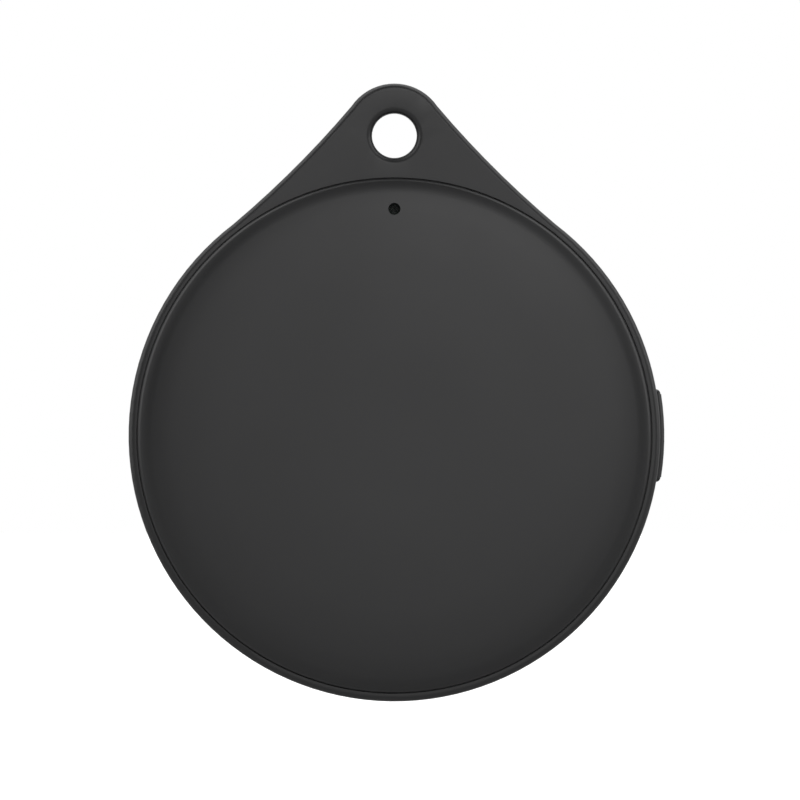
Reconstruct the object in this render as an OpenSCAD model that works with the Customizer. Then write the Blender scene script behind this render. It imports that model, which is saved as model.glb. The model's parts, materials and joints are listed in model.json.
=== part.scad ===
// Bluetooth tracker tag: a round sealed case with a key tab on top, a domed front panel,
// a push button in its side wall, and a twist-off battery door in its back.
// It hangs upright: X to the right, Z up, and the front panel faces -Y.
// The origin is the centre of the key hole, halfway through the tab.

/* [Outline] */
// Radius of the round case
case_radius = 19; // [18.8:0.1:20]
// Height of the key hole above the centre of the round case
tab_reach = 21.44; // [21.2:0.02:23]
// Radius of the tab's rounded tip, about the key hole
tab_tip_radius = 3.72; // [3.5:0.02:4.2]
// Radius of the hollow flanks that join the tip to the round case
flank_radius = 71.5; // [60:0.5:90]
// Thickness of the tab
tab_thickness = 3; // [2.6:0.1:3.2]
// Rounding of the frame's outer edges
edge_round = 0.4; // [0.3:0.05:0.4]
// Radius of the key hole
key_hole_radius = 1.6; // [1.4:0.05:1.7]
// Rounding of the key hole's two mouths
key_hole_round = 0.45; // [0.3:0.05:0.5]

/* [Front panel] */
// Width of the frame's rim round the panel, rounding included
rim_width = 0.55; // [0.5:0.05:0.6]
// Parting gap between the panel and the rim
panel_gap = 0.08; // [0.05:0.01:0.1]
// Radius of the sound hole
sound_hole_radius = 0.43; // [0.3:0.01:0.5]
// Height of the sound hole above the centre of the panel
sound_hole_height = 16.19; // [16.1:0.01:16.3]

/* [Button] */
// Length of the button along the case wall
button_length = 6.65; // [6:0.05:7]
// Width of the button from front to back
button_width = 2.2; // [1.8:0.1:2.4]
// How far the button stands out of the case wall
button_proud = 0.33; // [0.3:0.01:0.5]
// Clearance between the button and its slot
button_clearance = 0.1; // [0.08:0.01:0.15]

/* [Battery] */
// Radius of the coin cell
cell_radius = 10; // [9.9:0.05:10]
// Thickness of the coin cell
cell_thickness = 3.2; // [3.1:0.05:3.2]

/* [Battery door] */
// Radius of the door's flange
door_radius = 12.5; // [12.4:0.05:12.6]
// Clearance round the door
door_clearance = 0.1; // [0.08:0.01:0.12]
// Number of lugs that hold the door
lug_count = 3; // [2:1:4]
// Rise of the door in one full turn
door_lead = 12; // [8:0.5:12]
// Length of the coin slot
coin_slot_length = 14; // [10:0.5:16]
// Width of the coin slot
coin_slot_width = 1.6; // [1.2:0.1:2]

/* [Circuit board] */
// Thickness of the circuit board
board_thickness = 0.7; // [0.6:0.05:0.7]
// Radius of the round circuit board
board_radius = 17.2; // [17:0.05:17.2]

/* [Hidden] */
$fn = 96;
small_fn = 32;
fine_fn = 720;
dome_fn = 1440;
overlap = 0.01;

// Depths are measured backwards from the frame's flat front face.
case_wall = 1.5;
inner_radius = case_radius - case_wall;
recess_radius = case_radius - rim_width;
panel_radius = recess_radius - panel_gap;
ledge_width = 1.3;
ledge_thickness = 0.52;
ledge_radius = inner_radius - ledge_width;
glue = 0.08;
panel_skirt_depth = 0.45;
recess_depth = panel_skirt_depth + glue;
board_front_depth = recess_depth + ledge_thickness;
board_back_depth = board_front_depth + board_thickness;
frame_depth = 5;
seal_thickness = 0.05;
cell_front_depth = 2.15;
cell_back_depth = cell_front_depth + cell_thickness;
case_depth = 6.4;
back_plate = 1.15;
back_inner_depth = case_depth - back_plate;
back_round = 1;

// Arcs of the front panel, flat inside the first: [radius where the arc starts, slope there in degrees].
// The last arc rounds the panel's edge.
panel_edge_width = 0.22;
dome = [[5, 0], [12.5, 2], [15.8, 4.5], [17.3, 9], [panel_radius - panel_edge_width, 24], [panel_radius, 90]];
panel_inner_depth = 0.05;
panel_skirt_radius = 17.35;

// The flanks run into the tab's tip and the round case almost tangentially, this far under the
// surface. Their ends on both are measured from the case's centre.
flank_overlap = 0.02;
tip_to_flank = tab_tip_radius + flank_radius - flank_overlap;
case_to_flank = case_radius + flank_radius - flank_overlap;
flank_y = (tip_to_flank ^ 2 - case_to_flank ^ 2 - tab_reach ^ 2) / (-2 * tab_reach);
flank_x = sqrt(case_to_flank ^ 2 - flank_y ^ 2);
flank_centre = [flank_x, flank_y];
on_case = flank_centre * (case_radius - flank_overlap) / case_to_flank;
on_tip = [0, tab_reach]
    + (flank_centre - [0, tab_reach]) * (tab_tip_radius - flank_overlap) / tip_to_flank;

// Rib that locates the board.
board_rib_angle = 300;
board_rib_start = 16.6;
board_rib_width = 1.5;
board_rib_root = 0.2;
board_rib_clearance = 0.1;

// Button and side switch.
button_depth = 3.25;
button_edge = 0.35;
button_corner = 0.45;
button_lip = 0.3;
gasket_room = 0.4;
button_flange = 0.4;
button_flange_outer = inner_radius - gasket_room;
button_flange_inner = button_flange_outer - button_flange;
button_slot_length = button_length + 2 * button_clearance;
button_slot_width = button_width + 2 * button_clearance;
button_opening = 8.6;
switch_depth = 1.6;
switch_length = 3.5;
switch_width = 2.6;
switch_x = 14.2;
switch_axis_height = 0.95;
switch_axis_depth = board_back_depth + switch_axis_height;
plunger_tip = 16.2;
plunger_start = 14.7;
plunger_width = 1.4;
plunger_height = 0.8;
switch_travel_room = 0.5;
press_gap = 0.02;

// Battery bay and door.
cell_clearance = 0.25;
skirt_thickness = 0.7;
skirt_inner = cell_radius + cell_clearance;
skirt_outer = skirt_inner + skirt_thickness;
lug_outer = 11.6;
plug_radius = 11.65;
bay_radius = plug_radius + door_clearance;
hook_radius = skirt_outer + door_clearance;
bay_wall_radius = 13.4;
counterbore_radius = door_radius + door_clearance;
bay_end_depth = 4;
skirt_end_gap = 0.15;
skirt_end_depth = bay_end_depth + skirt_end_gap;
lug_height = 0.5;
hook_gap = 0.05;
hook_end_depth = skirt_end_depth + lug_height + hook_gap;
door_sink = 0.05;
door_flange = 0.55;
cell_play = 0.07;
door_outer_depth = case_depth - door_sink;
flange_inner_depth = door_outer_depth - door_flange;
plug_end_depth = back_inner_depth + door_sink;
door_inner_depth = cell_back_depth + cell_play;
coin_slot_depth = 0.45;
lug_half_angle = 7;
hook_lead_angle = 3;
hook_stop_angle = 12;
door_seal_radius = 0.25;
door_seal_inset = 0.05;
door_seal_centre = (bay_radius + door_radius) / 2 - door_seal_inset;
door_seal_depth = (flange_inner_depth + back_inner_depth) / 2;

// Shells of the coin cell.
cell_wall = 0.25;
cell_round = 0.4;
crimp_width = 0.8;
gasket_width = 0.35;
can_step = 0.3;
crimp_radius = cell_radius - crimp_width;
can_end_depth = cell_front_depth + can_step;
crimp_depth = can_end_depth + cell_wall;
cap_radius = crimp_radius - gasket_width;

// Cradle round the coin cell.
cradle_clearance = 0.2;
cradle_inner = cell_radius + cradle_clearance;
cradle_outer = 11.2;
cradle_flange = 12.4;
cradle_flange_thickness = 0.4;
cradle_window = 4;
cradle_window_sill = 0.1;
cradle_window_depth = bay_end_depth - cradle_flange_thickness - cradle_window_sill;
contact_angle = 225;

// Buzzer behind the front panel.
buzzer_radius = 8;
buzzer_glue_radius = 6.6;
buzzer_plate_depth = 0.11;
buzzer_plate_thickness = 0.12;
ceramic_radius = 5.6;
ceramic_thickness = 0.12;
electrode_radius = 5.2;
electrode_thickness = 0.02;
ceramic_depth = buzzer_plate_depth + buzzer_plate_thickness;
electrode_depth = ceramic_depth + ceramic_thickness;

// Stands the tag upright. Inside, Z points out of the front face and Y points to the tab;
// the frame's front face is at Z = 0 and the centre of the round case is at X = Y = 0.
module upright() {
    translate([0, -tab_thickness / 2, -tab_reach])
        rotate([90, 0, 0])
            children();
}

// A flat shape given thickness between two depths behind the front face.
module slab(from_depth, to_depth) {
    translate([0, 0, -to_depth])
        linear_extrude(to_depth - from_depth)
            children();
}

// A washer between two depths.
module washer(outer, inner, from_depth, to_depth) {
    slab(from_depth, to_depth)
        difference() {
            circle(outer);
            circle(inner);
        }
}

// A rectangular block between two depths, centred on a point.
module block(centre, size, from_depth, to_depth) {
    slab(from_depth, to_depth)
        translate(centre)
            square(size, center = true);
}

// Places a piece on the board at a radius and an angle, turned to face outwards.
module on_board(radius, angle) {
    rotate(angle)
        translate([radius, 0, 0])
            children();
}

// A pie-shaped sector, wide enough to cut any ring of the case.
module sector(from_angle, to_angle) {
    reach = 2 * case_radius;
    middle = (from_angle + to_angle) / 2;
    polygon([
        [0, 0],
        reach * [cos(from_angle), sin(from_angle)],
        reach * [cos(middle), sin(middle)],
        reach * [cos(to_angle), sin(to_angle)]
    ]);
}

// A rectangle with rounded corners.
module rounded_rectangle(size, corner) {
    square([size.x - 2 * corner, size.y], center = true);
    square([size.x, size.y - 2 * corner], center = true);
    for (x = [-1, 1], y = [-1, 1])
        translate([x * (size.x / 2 - corner), y * (size.y / 2 - corner)])
            circle(corner, $fn = small_fn);
}

// What is cut away to round a corner. The corner is at the origin, and the solid is left of it and below.
module corner_waste(radius) {
    difference() {
        square(2 * radius, center = true);
        translate([-radius, -radius])
            circle(radius, $fn = small_fn);
    }
}

// ---- Case ----

// Profile of a disc from the front face down to a depth, with its front edge rounded.
module disc_profile(radius, depth) {
    translate([0, -depth])
        square([radius, depth - edge_round]);
    translate([0, -edge_round - overlap])
        square([radius - edge_round, edge_round + overlap]);
    intersection() {
        translate([radius - edge_round, -edge_round])
            circle(edge_round, $fn = small_fn);
        translate([0, -depth])
            square([radius, depth]);
    }
}

// Profile of a disc with its front and back edges rounded.
module pill_profile(radius, depth) {
    intersection() {
        disc_profile(radius, depth);
        translate([0, -depth])
            mirror([0, 1])
                disc_profile(radius, depth);
    }
}

// Profile that cuts a flank: it flares at both faces of the tab to round the flank's edges.
module flank_profile() {
    translate([0, -tab_thickness - overlap])
        square([flank_radius, tab_thickness + 2 * overlap]);
    for (face = [0, 1])
        translate([flank_radius, -face * tab_thickness])
            mirror([0, face])
                difference() {
                    translate([-edge_round, -edge_round])
                        square([2 * edge_round, edge_round + overlap]);
                    translate([edge_round, -edge_round])
                        circle(edge_round, $fn = small_fn);
                }
}

// The tab between the round case and the tip, bounded by the two hollow flanks.
module tab_web() {
    difference() {
        slab(0, tab_thickness)
            polygon([
                on_case * 0.8,
                on_case,
                on_tip,
                [0, tab_reach],
                [-on_tip.x, on_tip.y],
                [-on_case.x, on_case.y],
                [-on_case.x, on_case.y] * 0.8
            ]);
        for (side = [-1, 1])
            translate([side * flank_centre.x, flank_centre.y, 0])
                rotate_extrude($fn = fine_fn)
                    flank_profile();
    }
}

// Profile of the key hole with its two rounded mouths.
module key_hole_profile() {
    translate([0, -tab_thickness - overlap])
        square([key_hole_radius, tab_thickness + 2 * overlap]);
    for (face = [0, 1])
        translate([key_hole_radius, -face * tab_thickness])
            mirror([0, face])
                difference() {
                    translate([-key_hole_round, -key_hole_round])
                        square([2 * key_hole_round, key_hole_round + overlap]);
                    translate([key_hole_round, -key_hole_round])
                        circle(key_hole_round, $fn = small_fn);
                }
}

// Everything that is hollow inside the frame: the panel's recess, the ledge and the bay.
module frame_cavity() {
    translate([0, 0, -recess_depth])
        cylinder(r = recess_radius, h = recess_depth + 1);
    translate([0, 0, -board_front_depth - overlap])
        cylinder(r = ledge_radius, h = board_front_depth);
    translate([0, 0, -frame_depth - 1])
        cylinder(r = inner_radius, h = frame_depth + 1 - board_front_depth);
}

// Channel in the ledge that joins the sound hole to the space behind the panel.
module sound_channel() {
    channel_width = 2.6;
    channel_end = panel_skirt_radius;
    slab(recess_depth - overlap, board_front_depth + overlap)
        intersection() {
            translate([-channel_width / 2, 0])
                square([channel_width, channel_end]);
            circle(channel_end);
        }
}

module button_slot() {
    translate([inner_radius - 1, 0, -button_depth])
        rotate([90, 0, 90])
            linear_extrude(case_wall + 2)
                rounded_rectangle([button_slot_length, button_slot_width], button_corner + button_clearance);
}

// Rib on the wall that enters the board's notch and stops the board turning.
module board_rib(clearance) {
    rotate(board_rib_angle)
        slab(board_front_depth - overlap, board_back_depth)
            translate([board_rib_start - clearance, -board_rib_width / 2 - clearance])
                square([
                    inner_radius + board_rib_root - board_rib_start + clearance,
                    board_rib_width + 2 * clearance
                ]);
}

module front_frame() {
    color([0.06, 0.06, 0.065])
        upright() {
            board_rib(0);
            difference() {
                union() {
                    rotate_extrude()
                        disc_profile(case_radius, frame_depth);
                    translate([0, tab_reach, 0])
                        rotate_extrude()
                            pill_profile(tab_tip_radius, tab_thickness);
                    tab_web();
                }
                frame_cavity();
                sound_channel();
                button_slot();
                translate([0, tab_reach, 0])
                    rotate_extrude()
                        key_hole_profile();
            }
        }
}

// Radius, centre height and drop of the dome's arc number i.
function arc_radius(i) = (dome[i + 1][0] - dome[i][0]) / (sin(dome[i + 1][1]) - sin(dome[i][1]));
function arc_drop(i) = arc_radius(i) * (cos(dome[i][1]) - cos(dome[i + 1][1]));
function dome_height(i) = i == len(dome) - 1 ? 0 : arc_drop(i) + dome_height(i + 1);

// Half section of the domed panel, as arcs that run smoothly into each other.
module dome_profile() {
    translate([0, -panel_skirt_depth])
        square([dome[0][0], panel_skirt_depth + dome_height(0)]);
    for (i = [0:len(dome) - 2]) {
        start = dome[i];
        width = dome[i + 1][0] - start[0];
        arc_centre = [
            start[0] - arc_radius(i) * sin(start[1]),
            dome_height(i) - arc_radius(i) * cos(start[1])
        ];
        intersection() {
            translate([start[0], -panel_skirt_depth])
                square([width, panel_skirt_depth + dome_height(i) + 1]);
            union() {
                translate(arc_centre)
                    circle(arc_radius(i), $fn = arc_radius(i) > 1 ? dome_fn : small_fn);
                translate([start[0], -panel_skirt_depth])
                    square([width, panel_skirt_depth]);
            }
        }
    }
}

module front_panel() {
    color([0.06, 0.06, 0.065])
        upright()
            difference() {
                rotate_extrude()
                    dome_profile();
                translate([0, 0, -panel_skirt_depth - 1])
                    cylinder(r = panel_skirt_radius, h = panel_skirt_depth + 1 - panel_inner_depth);
                translate([0, sound_hole_height, -1])
                    cylinder(r = sound_hole_radius, h = 4, $fn = small_fn);
            }
}

module panel_adhesive() {
    outer_margin = 0.07;
    inner_margin = 0.05;
    color([0.15, 0.15, 0.16])
        upright()
            washer(
                panel_radius - outer_margin, panel_skirt_radius + inner_margin,
                panel_skirt_depth, recess_depth
            );
}

module sound_hole_mesh() {
    mesh_radius = 0.95;
    mesh_thickness = 0.1;
    color([0.12, 0.12, 0.13])
        upright()
            slab(panel_inner_depth, panel_inner_depth + mesh_thickness)
                translate([0, sound_hole_height])
                    circle(mesh_radius, $fn = small_fn);
}

// Half section of the rear case: back plate, rim, spigot and battery bay wall.
module rear_case_profile() {
    spigot_outer = inner_radius - door_clearance;
    spigot_thickness = 0.7;
    cradle_gap = 0.1;
    rim_start = frame_depth + seal_thickness;
    difference() {
        union() {
            translate([bay_radius, -case_depth])
                square([case_radius - bay_radius, back_plate]);
            translate([spigot_outer - spigot_thickness, -case_depth])
                square([case_radius - spigot_outer + spigot_thickness, case_depth - rim_start]);
            translate([spigot_outer - spigot_thickness, -case_depth])
                square([spigot_thickness, case_depth - bay_end_depth - cradle_gap]);
            translate([bay_radius, -case_depth])
                square([bay_wall_radius - bay_radius, case_depth - bay_end_depth]);
        }
        translate([case_radius, -case_depth])
            mirror([0, 1])
                corner_waste(back_round);
        translate([bay_radius - 1, -case_depth - 1])
            square([counterbore_radius - bay_radius + 1, 1 + back_plate]);
    }
}

// One hook of the bayonet. Its front side is a ramp that follows the lug's helix, and behind
// the ramp a stop block ends the closing turn.
module door_hook() {
    hook_middle = (hook_radius + bay_radius) / 2;
    ramp_angle = hook_lead_angle + lug_half_angle;
    ramp_slope = atan(door_lead / (2 * PI * hook_middle));
    ramp_length = 2 * hook_middle * sin(ramp_angle);
    difference() {
        slab(hook_end_depth - hook_gap - lug_height, back_inner_depth)
            intersection() {
                difference() {
                    circle(bay_radius + overlap);
                    circle(hook_radius);
                }
                sector(-hook_stop_angle, hook_lead_angle);
            }
        rotate(-lug_half_angle - 1)
            translate([hook_middle, 0, -hook_end_depth])
                rotate([-ramp_slope, 0, 0])
                    translate([-1, 0, 0])
                        cube([2, ramp_length, 2]);
    }
}

// Small round dimples by the door that mark shut and free.
module door_marks() {
    mark_radius = 0.35;
    mark_depth = 0.2;
    mark_ring = 14.2;
    free_angle = 25;
    for (angle = [90, 90 - free_angle])
        rotate(angle)
            translate([mark_ring, 0, -case_depth - 1])
                cylinder(r = mark_radius, h = 1 + mark_depth, $fn = small_fn);
}

module rear_case() {
    color([0.055, 0.055, 0.06])
        upright()
            difference() {
                union() {
                    rotate_extrude()
                        rear_case_profile();
                    for (i = [0:lug_count - 1])
                        rotate(90 + i * 360 / lug_count)
                            mirror([0, 1, 0])
                                door_hook();
                }
                door_marks();
                block([inner_radius, 0], [4, button_opening], button_depth, frame_depth);
            }
}

module case_seal() {
    outer_margin = 0.25;
    inner_margin = 0.1;
    color([0.2, 0.2, 0.2])
        upright()
            washer(
                case_radius - outer_margin, inner_radius + inner_margin,
                frame_depth, frame_depth + seal_thickness
            );
}

// ---- Battery door ----

// Half section of the door: cover, groove for the seal, plug and skirt.
module door_profile() {
    translate([0, -door_outer_depth])
        square([door_radius, door_outer_depth - flange_inner_depth]);
    translate([skirt_inner, -door_outer_depth])
        square([plug_radius - skirt_inner, door_outer_depth - plug_end_depth]);
    translate([0, -door_outer_depth])
        square([skirt_outer, door_outer_depth - door_inner_depth]);
    translate([skirt_inner, -door_outer_depth])
        square([skirt_outer - skirt_inner, door_outer_depth - skirt_end_depth]);
}

module coin_slot() {
    half = coin_slot_length / 2 - coin_slot_width / 2;
    translate([0, 0, -door_outer_depth - 1])
        linear_extrude(1 + coin_slot_depth) {
            square([2 * half, coin_slot_width], center = true);
            for (side = [-1, 1])
                translate([side * half, 0])
                    circle(coin_slot_width / 2, $fn = small_fn);
        }
}

module battery_door() {
    edge_chamfer = 0.15;
    mark_ring = 11.2;
    mark_radius = 0.35;
    mark_depth = 0.2;
    color([0.055, 0.055, 0.06])
        upright()
            difference() {
                union() {
                    rotate_extrude()
                        difference() {
                            door_profile();
                            translate([door_radius, -door_outer_depth])
                                rotate(45)
                                    square(edge_chamfer * sqrt(2), center = true);
                        }
                    slab(skirt_end_depth, skirt_end_depth + lug_height)
                        for (i = [0:lug_count - 1])
                            rotate(90 + i * 360 / lug_count)
                                intersection() {
                                    difference() {
                                        circle(lug_outer);
                                        circle(skirt_outer - overlap);
                                    }
                                    sector(-lug_half_angle, lug_half_angle);
                                }
                }
                coin_slot();
                translate([0, mark_ring, -door_outer_depth - 1])
                    cylinder(r = mark_radius, h = 1 + mark_depth, $fn = small_fn);
            }
}

module door_seal() {
    color([0.35, 0.05, 0.04])
        upright()
            translate([0, 0, -door_seal_depth])
                rotate_extrude()
                    translate([door_seal_centre, 0])
                        circle(door_seal_radius, $fn = small_fn);
}

// ---- Side button ----

// The button's outline in the case wall, swept outwards along X.
module button_sweep(from_x, to_x, grow) {
    translate([from_x, 0, -button_depth])
        rotate([90, 0, 90])
            linear_extrude(to_x - from_x)
                rounded_rectangle(
                    [button_length + 2 * grow, button_width + 2 * grow],
                    button_corner + grow
                );
}

// Half section of the round face of the button, with its two long edges rounded.
module button_face_profile() {
    face_radius = case_radius + button_proud;
    translate([0, -button_depth - button_width / 2])
        square([face_radius - button_edge, button_width]);
    translate([0, -button_depth - button_width / 2 + button_edge])
        square([face_radius, button_width - 2 * button_edge]);
    for (side = [-1, 1])
        translate([face_radius - button_edge, -button_depth + side * (button_width / 2 - button_edge)])
            circle(button_edge, $fn = small_fn);
}

module side_button() {
    end_x = sqrt((case_radius + button_proud) ^ 2 - (button_length / 2) ^ 2);
    post_size = [2, 1.1];
    post_root = 0.1;
    color([0.06, 0.06, 0.065])
        upright() {
            intersection() {
                button_sweep(button_flange_inner - 0.5, case_radius + 1, 0);
                rotate_extrude()
                    button_face_profile();
                difference() {
                    translate([0, 0, -button_depth - button_width])
                        cylinder(r = case_radius + 1, h = 2 * button_width);
                    cylinder(r = button_flange_inner, h = 20, center = true);
                    for (side = [-1, 1])
                        translate([end_x, side * button_length / 2, -button_depth])
                            mirror([0, side < 0 ? 1 : 0, 0])
                                linear_extrude(2 * button_width, center = true)
                                    corner_waste(button_edge);
                }
            }
            intersection() {
                button_sweep(button_flange_inner - 1, case_radius, button_lip);
                washer(
                    button_flange_outer, button_flange_inner,
                    button_depth - button_width, button_depth + button_width
                );
            }
            slab(switch_axis_depth - post_size.y / 2, switch_axis_depth + post_size.y / 2)
                translate([plunger_tip + press_gap, -post_size.x / 2])
                    square([button_flange_inner - plunger_tip + post_root, post_size.x]);
        }
}

module button_gasket() {
    gasket_gap = 0.02;
    neck_gap = 0.05;
    color([0.03, 0.03, 0.03])
        upright()
            intersection() {
                difference() {
                    button_sweep(button_flange_inner - 1, case_radius, button_lip);
                    button_sweep(button_flange_inner - 2, case_radius + 1, neck_gap);
                }
                washer(
                    inner_radius - gasket_gap, button_flange_outer + gasket_gap,
                    button_depth - button_width, button_depth + button_width
                );
            }
}

// ---- Circuit board ----

module main_board() {
    color([0.02, 0.14, 0.07])
        upright()
            difference() {
                slab(board_front_depth, board_back_depth)
                    circle(board_radius);
                board_rib(board_rib_clearance);
            }
}

// A part soldered on the back of the board.
module chip(radius, angle, size, turn = 0) {
    on_board(radius, angle)
        rotate(turn)
            block([0, 0], [size.x, size.y], board_back_depth, board_back_depth + size.z);
}

module board_pads() {
    pad_radius = 0.55;
    pad_thickness = 0.04;
    color([0.83, 0.62, 0.25])
        upright()
            for (angle = [246:8:286])
                on_board(15.9, angle)
                    slab(board_back_depth, board_back_depth + pad_thickness)
                        circle(pad_radius, $fn = small_fn);
}

module radio_chip() {
    color([0.05, 0.05, 0.055])
        upright()
            chip(14, 180, [5, 5, 0.85]);
}

module driver_chip() {
    color([0.05, 0.05, 0.055])
        upright()
            chip(13.6, 310, [2.9, 1.6, 0.95], 90);
}

module motion_sensor() {
    color([0.08, 0.08, 0.085])
        upright()
            chip(13.4, 262, [2, 2, 0.9]);
}

module crystals() {
    color([0.75, 0.75, 0.77])
        upright() {
            chip(13.6, 151, [2, 1.6, 0.5], 90);
            chip(13.8, 205, [3.2, 1.5, 0.8], 90);
        }
}

module chip_antenna() {
    color([0.9, 0.9, 0.88])
        upright()
            chip(15.3, 118, [5.2, 2, 1], 90);
}

module capacitors() {
    color([0.62, 0.48, 0.34])
        upright() {
            for (angle = [160, 164, 168, 192, 196])
                chip(16.1 - (angle % 8) / 8 * 3.4, angle, [1, 0.5, 0.5]);
            for (angle = [272, 278, 284])
                chip(13.2, angle, [1, 0.5, 0.5], 90);
            chip(13.6, 326, [2, 1.25, 0.95], 90);
            chip(13.6, 336, [2, 1.25, 0.95], 90);
        }
}

module resistors() {
    color([0.04, 0.04, 0.045])
        upright() {
            for (angle = [294, 298])
                chip(14.6, angle, [1, 0.5, 0.35]);
            for (angle = [22, 26, 30, 34])
                chip(14.8, angle, [1, 0.5, 0.35]);
        }
}

module inductors() {
    color([0.18, 0.17, 0.17])
        upright() {
            chip(13.8, 66, [2.5, 2, 1.1], 90);
            chip(13.6, 134, [1, 0.5, 0.5], 90);
            chip(13.6, 140, [1, 0.5, 0.5], 90);
        }
}

// ---- Buzzer ----

module buzzer_adhesive() {
    color([0.85, 0.83, 0.78])
        upright()
            washer(buzzer_radius, buzzer_glue_radius, panel_inner_depth, buzzer_plate_depth);
}

module buzzer_plate() {
    color([0.8, 0.62, 0.28])
        upright()
            slab(buzzer_plate_depth, buzzer_plate_depth + buzzer_plate_thickness)
                circle(buzzer_radius);
}

module buzzer_ceramic() {
    color([0.86, 0.84, 0.78])
        upright()
            slab(ceramic_depth, ceramic_depth + ceramic_thickness)
                circle(ceramic_radius);
}

module buzzer_electrode() {
    color([0.8, 0.8, 0.8])
        upright()
            slab(electrode_depth, electrode_depth + electrode_thickness)
                circle(electrode_radius);
}

// A bent spring leaf: a flat foot, a rising arm and a flat tip. It lies along X and rises along Z.
module spring_leaf(foot, arm, tip, rise, sheet, width) {
    translate([0, width / 2, 0])
        rotate([90, 0, 0])
            linear_extrude(width)
                polygon([
                    [0, 0],
                    [foot, 0],
                    [foot + arm, rise - sheet],
                    [foot + arm + tip, rise - sheet],
                    [foot + arm + tip, rise],
                    [foot + arm - sheet / 2, rise],
                    [foot - sheet / 2, sheet],
                    [0, sheet]
                ]);
}

module buzzer_springs() {
    spring_sheet = 0.1;
    spring_width = 1;
    color([0.83, 0.66, 0.3])
        upright() {
            translate([-4.2, 0, -board_front_depth])
                spring_leaf(1.4, 1.8, 0.7, board_front_depth - electrode_depth - electrode_thickness,
                    spring_sheet, spring_width);
            translate([3.4, 0, -board_front_depth])
                spring_leaf(1.4, 1.8, 0.7, board_front_depth - ceramic_depth, spring_sheet, spring_width);
        }
}

// ---- Side switch ----

module switch_body() {
    plunger_room = 0.04;
    color([0.04, 0.04, 0.045])
        upright()
            difference() {
                block(
                    [switch_x, 0], [switch_width, switch_length],
                    board_back_depth, board_back_depth + switch_depth
                );
                slab(
                    switch_axis_depth - plunger_height / 2 - plunger_room,
                    switch_axis_depth + plunger_height / 2 + plunger_room
                )
                    translate([plunger_start - switch_travel_room, -plunger_width / 2 - plunger_room])
                        square([switch_width, plunger_width + 2 * plunger_room]);
            }
}

module switch_cover() {
    cover_sheet = 0.12;
    top_depth = board_back_depth + switch_depth;
    color([0.74, 0.75, 0.77])
        upright() {
            block(
                [switch_x, 0], [switch_width, switch_length + 2 * cover_sheet],
                top_depth, top_depth + cover_sheet
            );
            for (side = [-1, 1])
                block(
                    [switch_x, side * (switch_length + cover_sheet) / 2], [1.2, cover_sheet],
                    board_back_depth, top_depth
                );
        }
}

module switch_plunger() {
    color([0.75, 0.74, 0.7])
        upright()
            slab(switch_axis_depth - plunger_height / 2, switch_axis_depth + plunger_height / 2)
                translate([plunger_start, -plunger_width / 2])
                    square([plunger_tip - plunger_start, plunger_width]);
}

// A shallow snap dome that bulges towards the plunger.
module switch_dome() {
    dome_sheet = 0.06;
    dome_span = 1.2;
    dome_rise = 0.35;
    bend_radius = (dome_span ^ 2 / 4 + dome_rise ^ 2) / (2 * dome_rise);
    dome_half_width = 0.35;
    dome_base = plunger_start - dome_rise - press_gap;
    color([0.8, 0.8, 0.78])
        upright()
            slab(switch_axis_depth - dome_half_width, switch_axis_depth + dome_half_width)
                intersection() {
                    translate([dome_base + dome_rise - bend_radius, 0])
                        difference() {
                            circle(bend_radius, $fn = 2 * small_fn);
                            circle(bend_radius - dome_sheet, $fn = 2 * small_fn);
                        }
                    translate([dome_base, -dome_span])
                        square([dome_rise + 1, 2 * dome_span]);
                }
}

module switch_terminals() {
    terminal_size = [0.5, 0.7];
    terminal_thickness = 0.15;
    terminal_reach = 0.5;
    color([0.78, 0.78, 0.8])
        upright()
            for (side = [-1, 1], x = [-0.7, 0.9])
                block(
                    [switch_x + x, side * (switch_length / 2 + terminal_reach)], terminal_size,
                    board_back_depth, board_back_depth + terminal_thickness
                );
}

// ---- Battery bay ----

module battery_cradle() {
    color([0.1, 0.1, 0.11])
        upright()
            difference() {
                rotate_extrude() {
                    translate([cradle_inner, -bay_end_depth])
                        square([cradle_outer - cradle_inner, bay_end_depth - board_back_depth]);
                    translate([cradle_inner, -bay_end_depth])
                        square([cradle_flange - cradle_inner, cradle_flange_thickness]);
                }
                on_board(cell_radius, contact_angle)
                    block([1, 0], [4, cradle_window], board_back_depth - 1, cradle_window_depth);
            }
}

module positive_contact() {
    contact_sheet = 0.15;
    contact_width = 3.2;
    foot_end = cell_radius + 3;
    leg = cell_radius + 1.1;
    tip_depth = 3.1;
    color([0.83, 0.7, 0.42])
        upright()
            rotate(contact_angle)
                translate([0, contact_width / 2, 0])
                    rotate([90, 0, 0])
                        linear_extrude(contact_width)
                            polygon([
                                [foot_end, -board_back_depth],
                                [leg - contact_sheet, -board_back_depth],
                                [cell_radius, -tip_depth + 0.4],
                                [cell_radius, -tip_depth],
                                [cell_radius + 0.3, -tip_depth - 0.3],
                                [cell_radius + 0.3 + contact_sheet, -tip_depth - 0.25],
                                [cell_radius + contact_sheet, -tip_depth + 0.05],
                                [cell_radius + contact_sheet, -tip_depth + 0.35],
                                [leg, -board_back_depth - contact_sheet],
                                [foot_end, -board_back_depth - contact_sheet]
                            ]);
}

module negative_contact() {
    contact_sheet = 0.12;
    contact_plate = 3;
    finger_count = 3;
    first_finger = 30;
    finger_root = 0.5;
    finger_width = 1.4;
    color([0.83, 0.7, 0.42])
        upright()
            mirror([0, 0, 1])
                translate([0, 0, board_back_depth]) {
                    cylinder(r = contact_plate, h = contact_sheet);
                    for (i = [0:finger_count - 1])
                        rotate(first_finger + i * 360 / finger_count)
                            translate([contact_plate - finger_root, 0, 0])
                                spring_leaf(
                                    0.9, 2.6, 0.8,
                                    cell_front_depth - board_back_depth, contact_sheet, finger_width
                                );
                }
}

// ---- Coin cell ----

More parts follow.
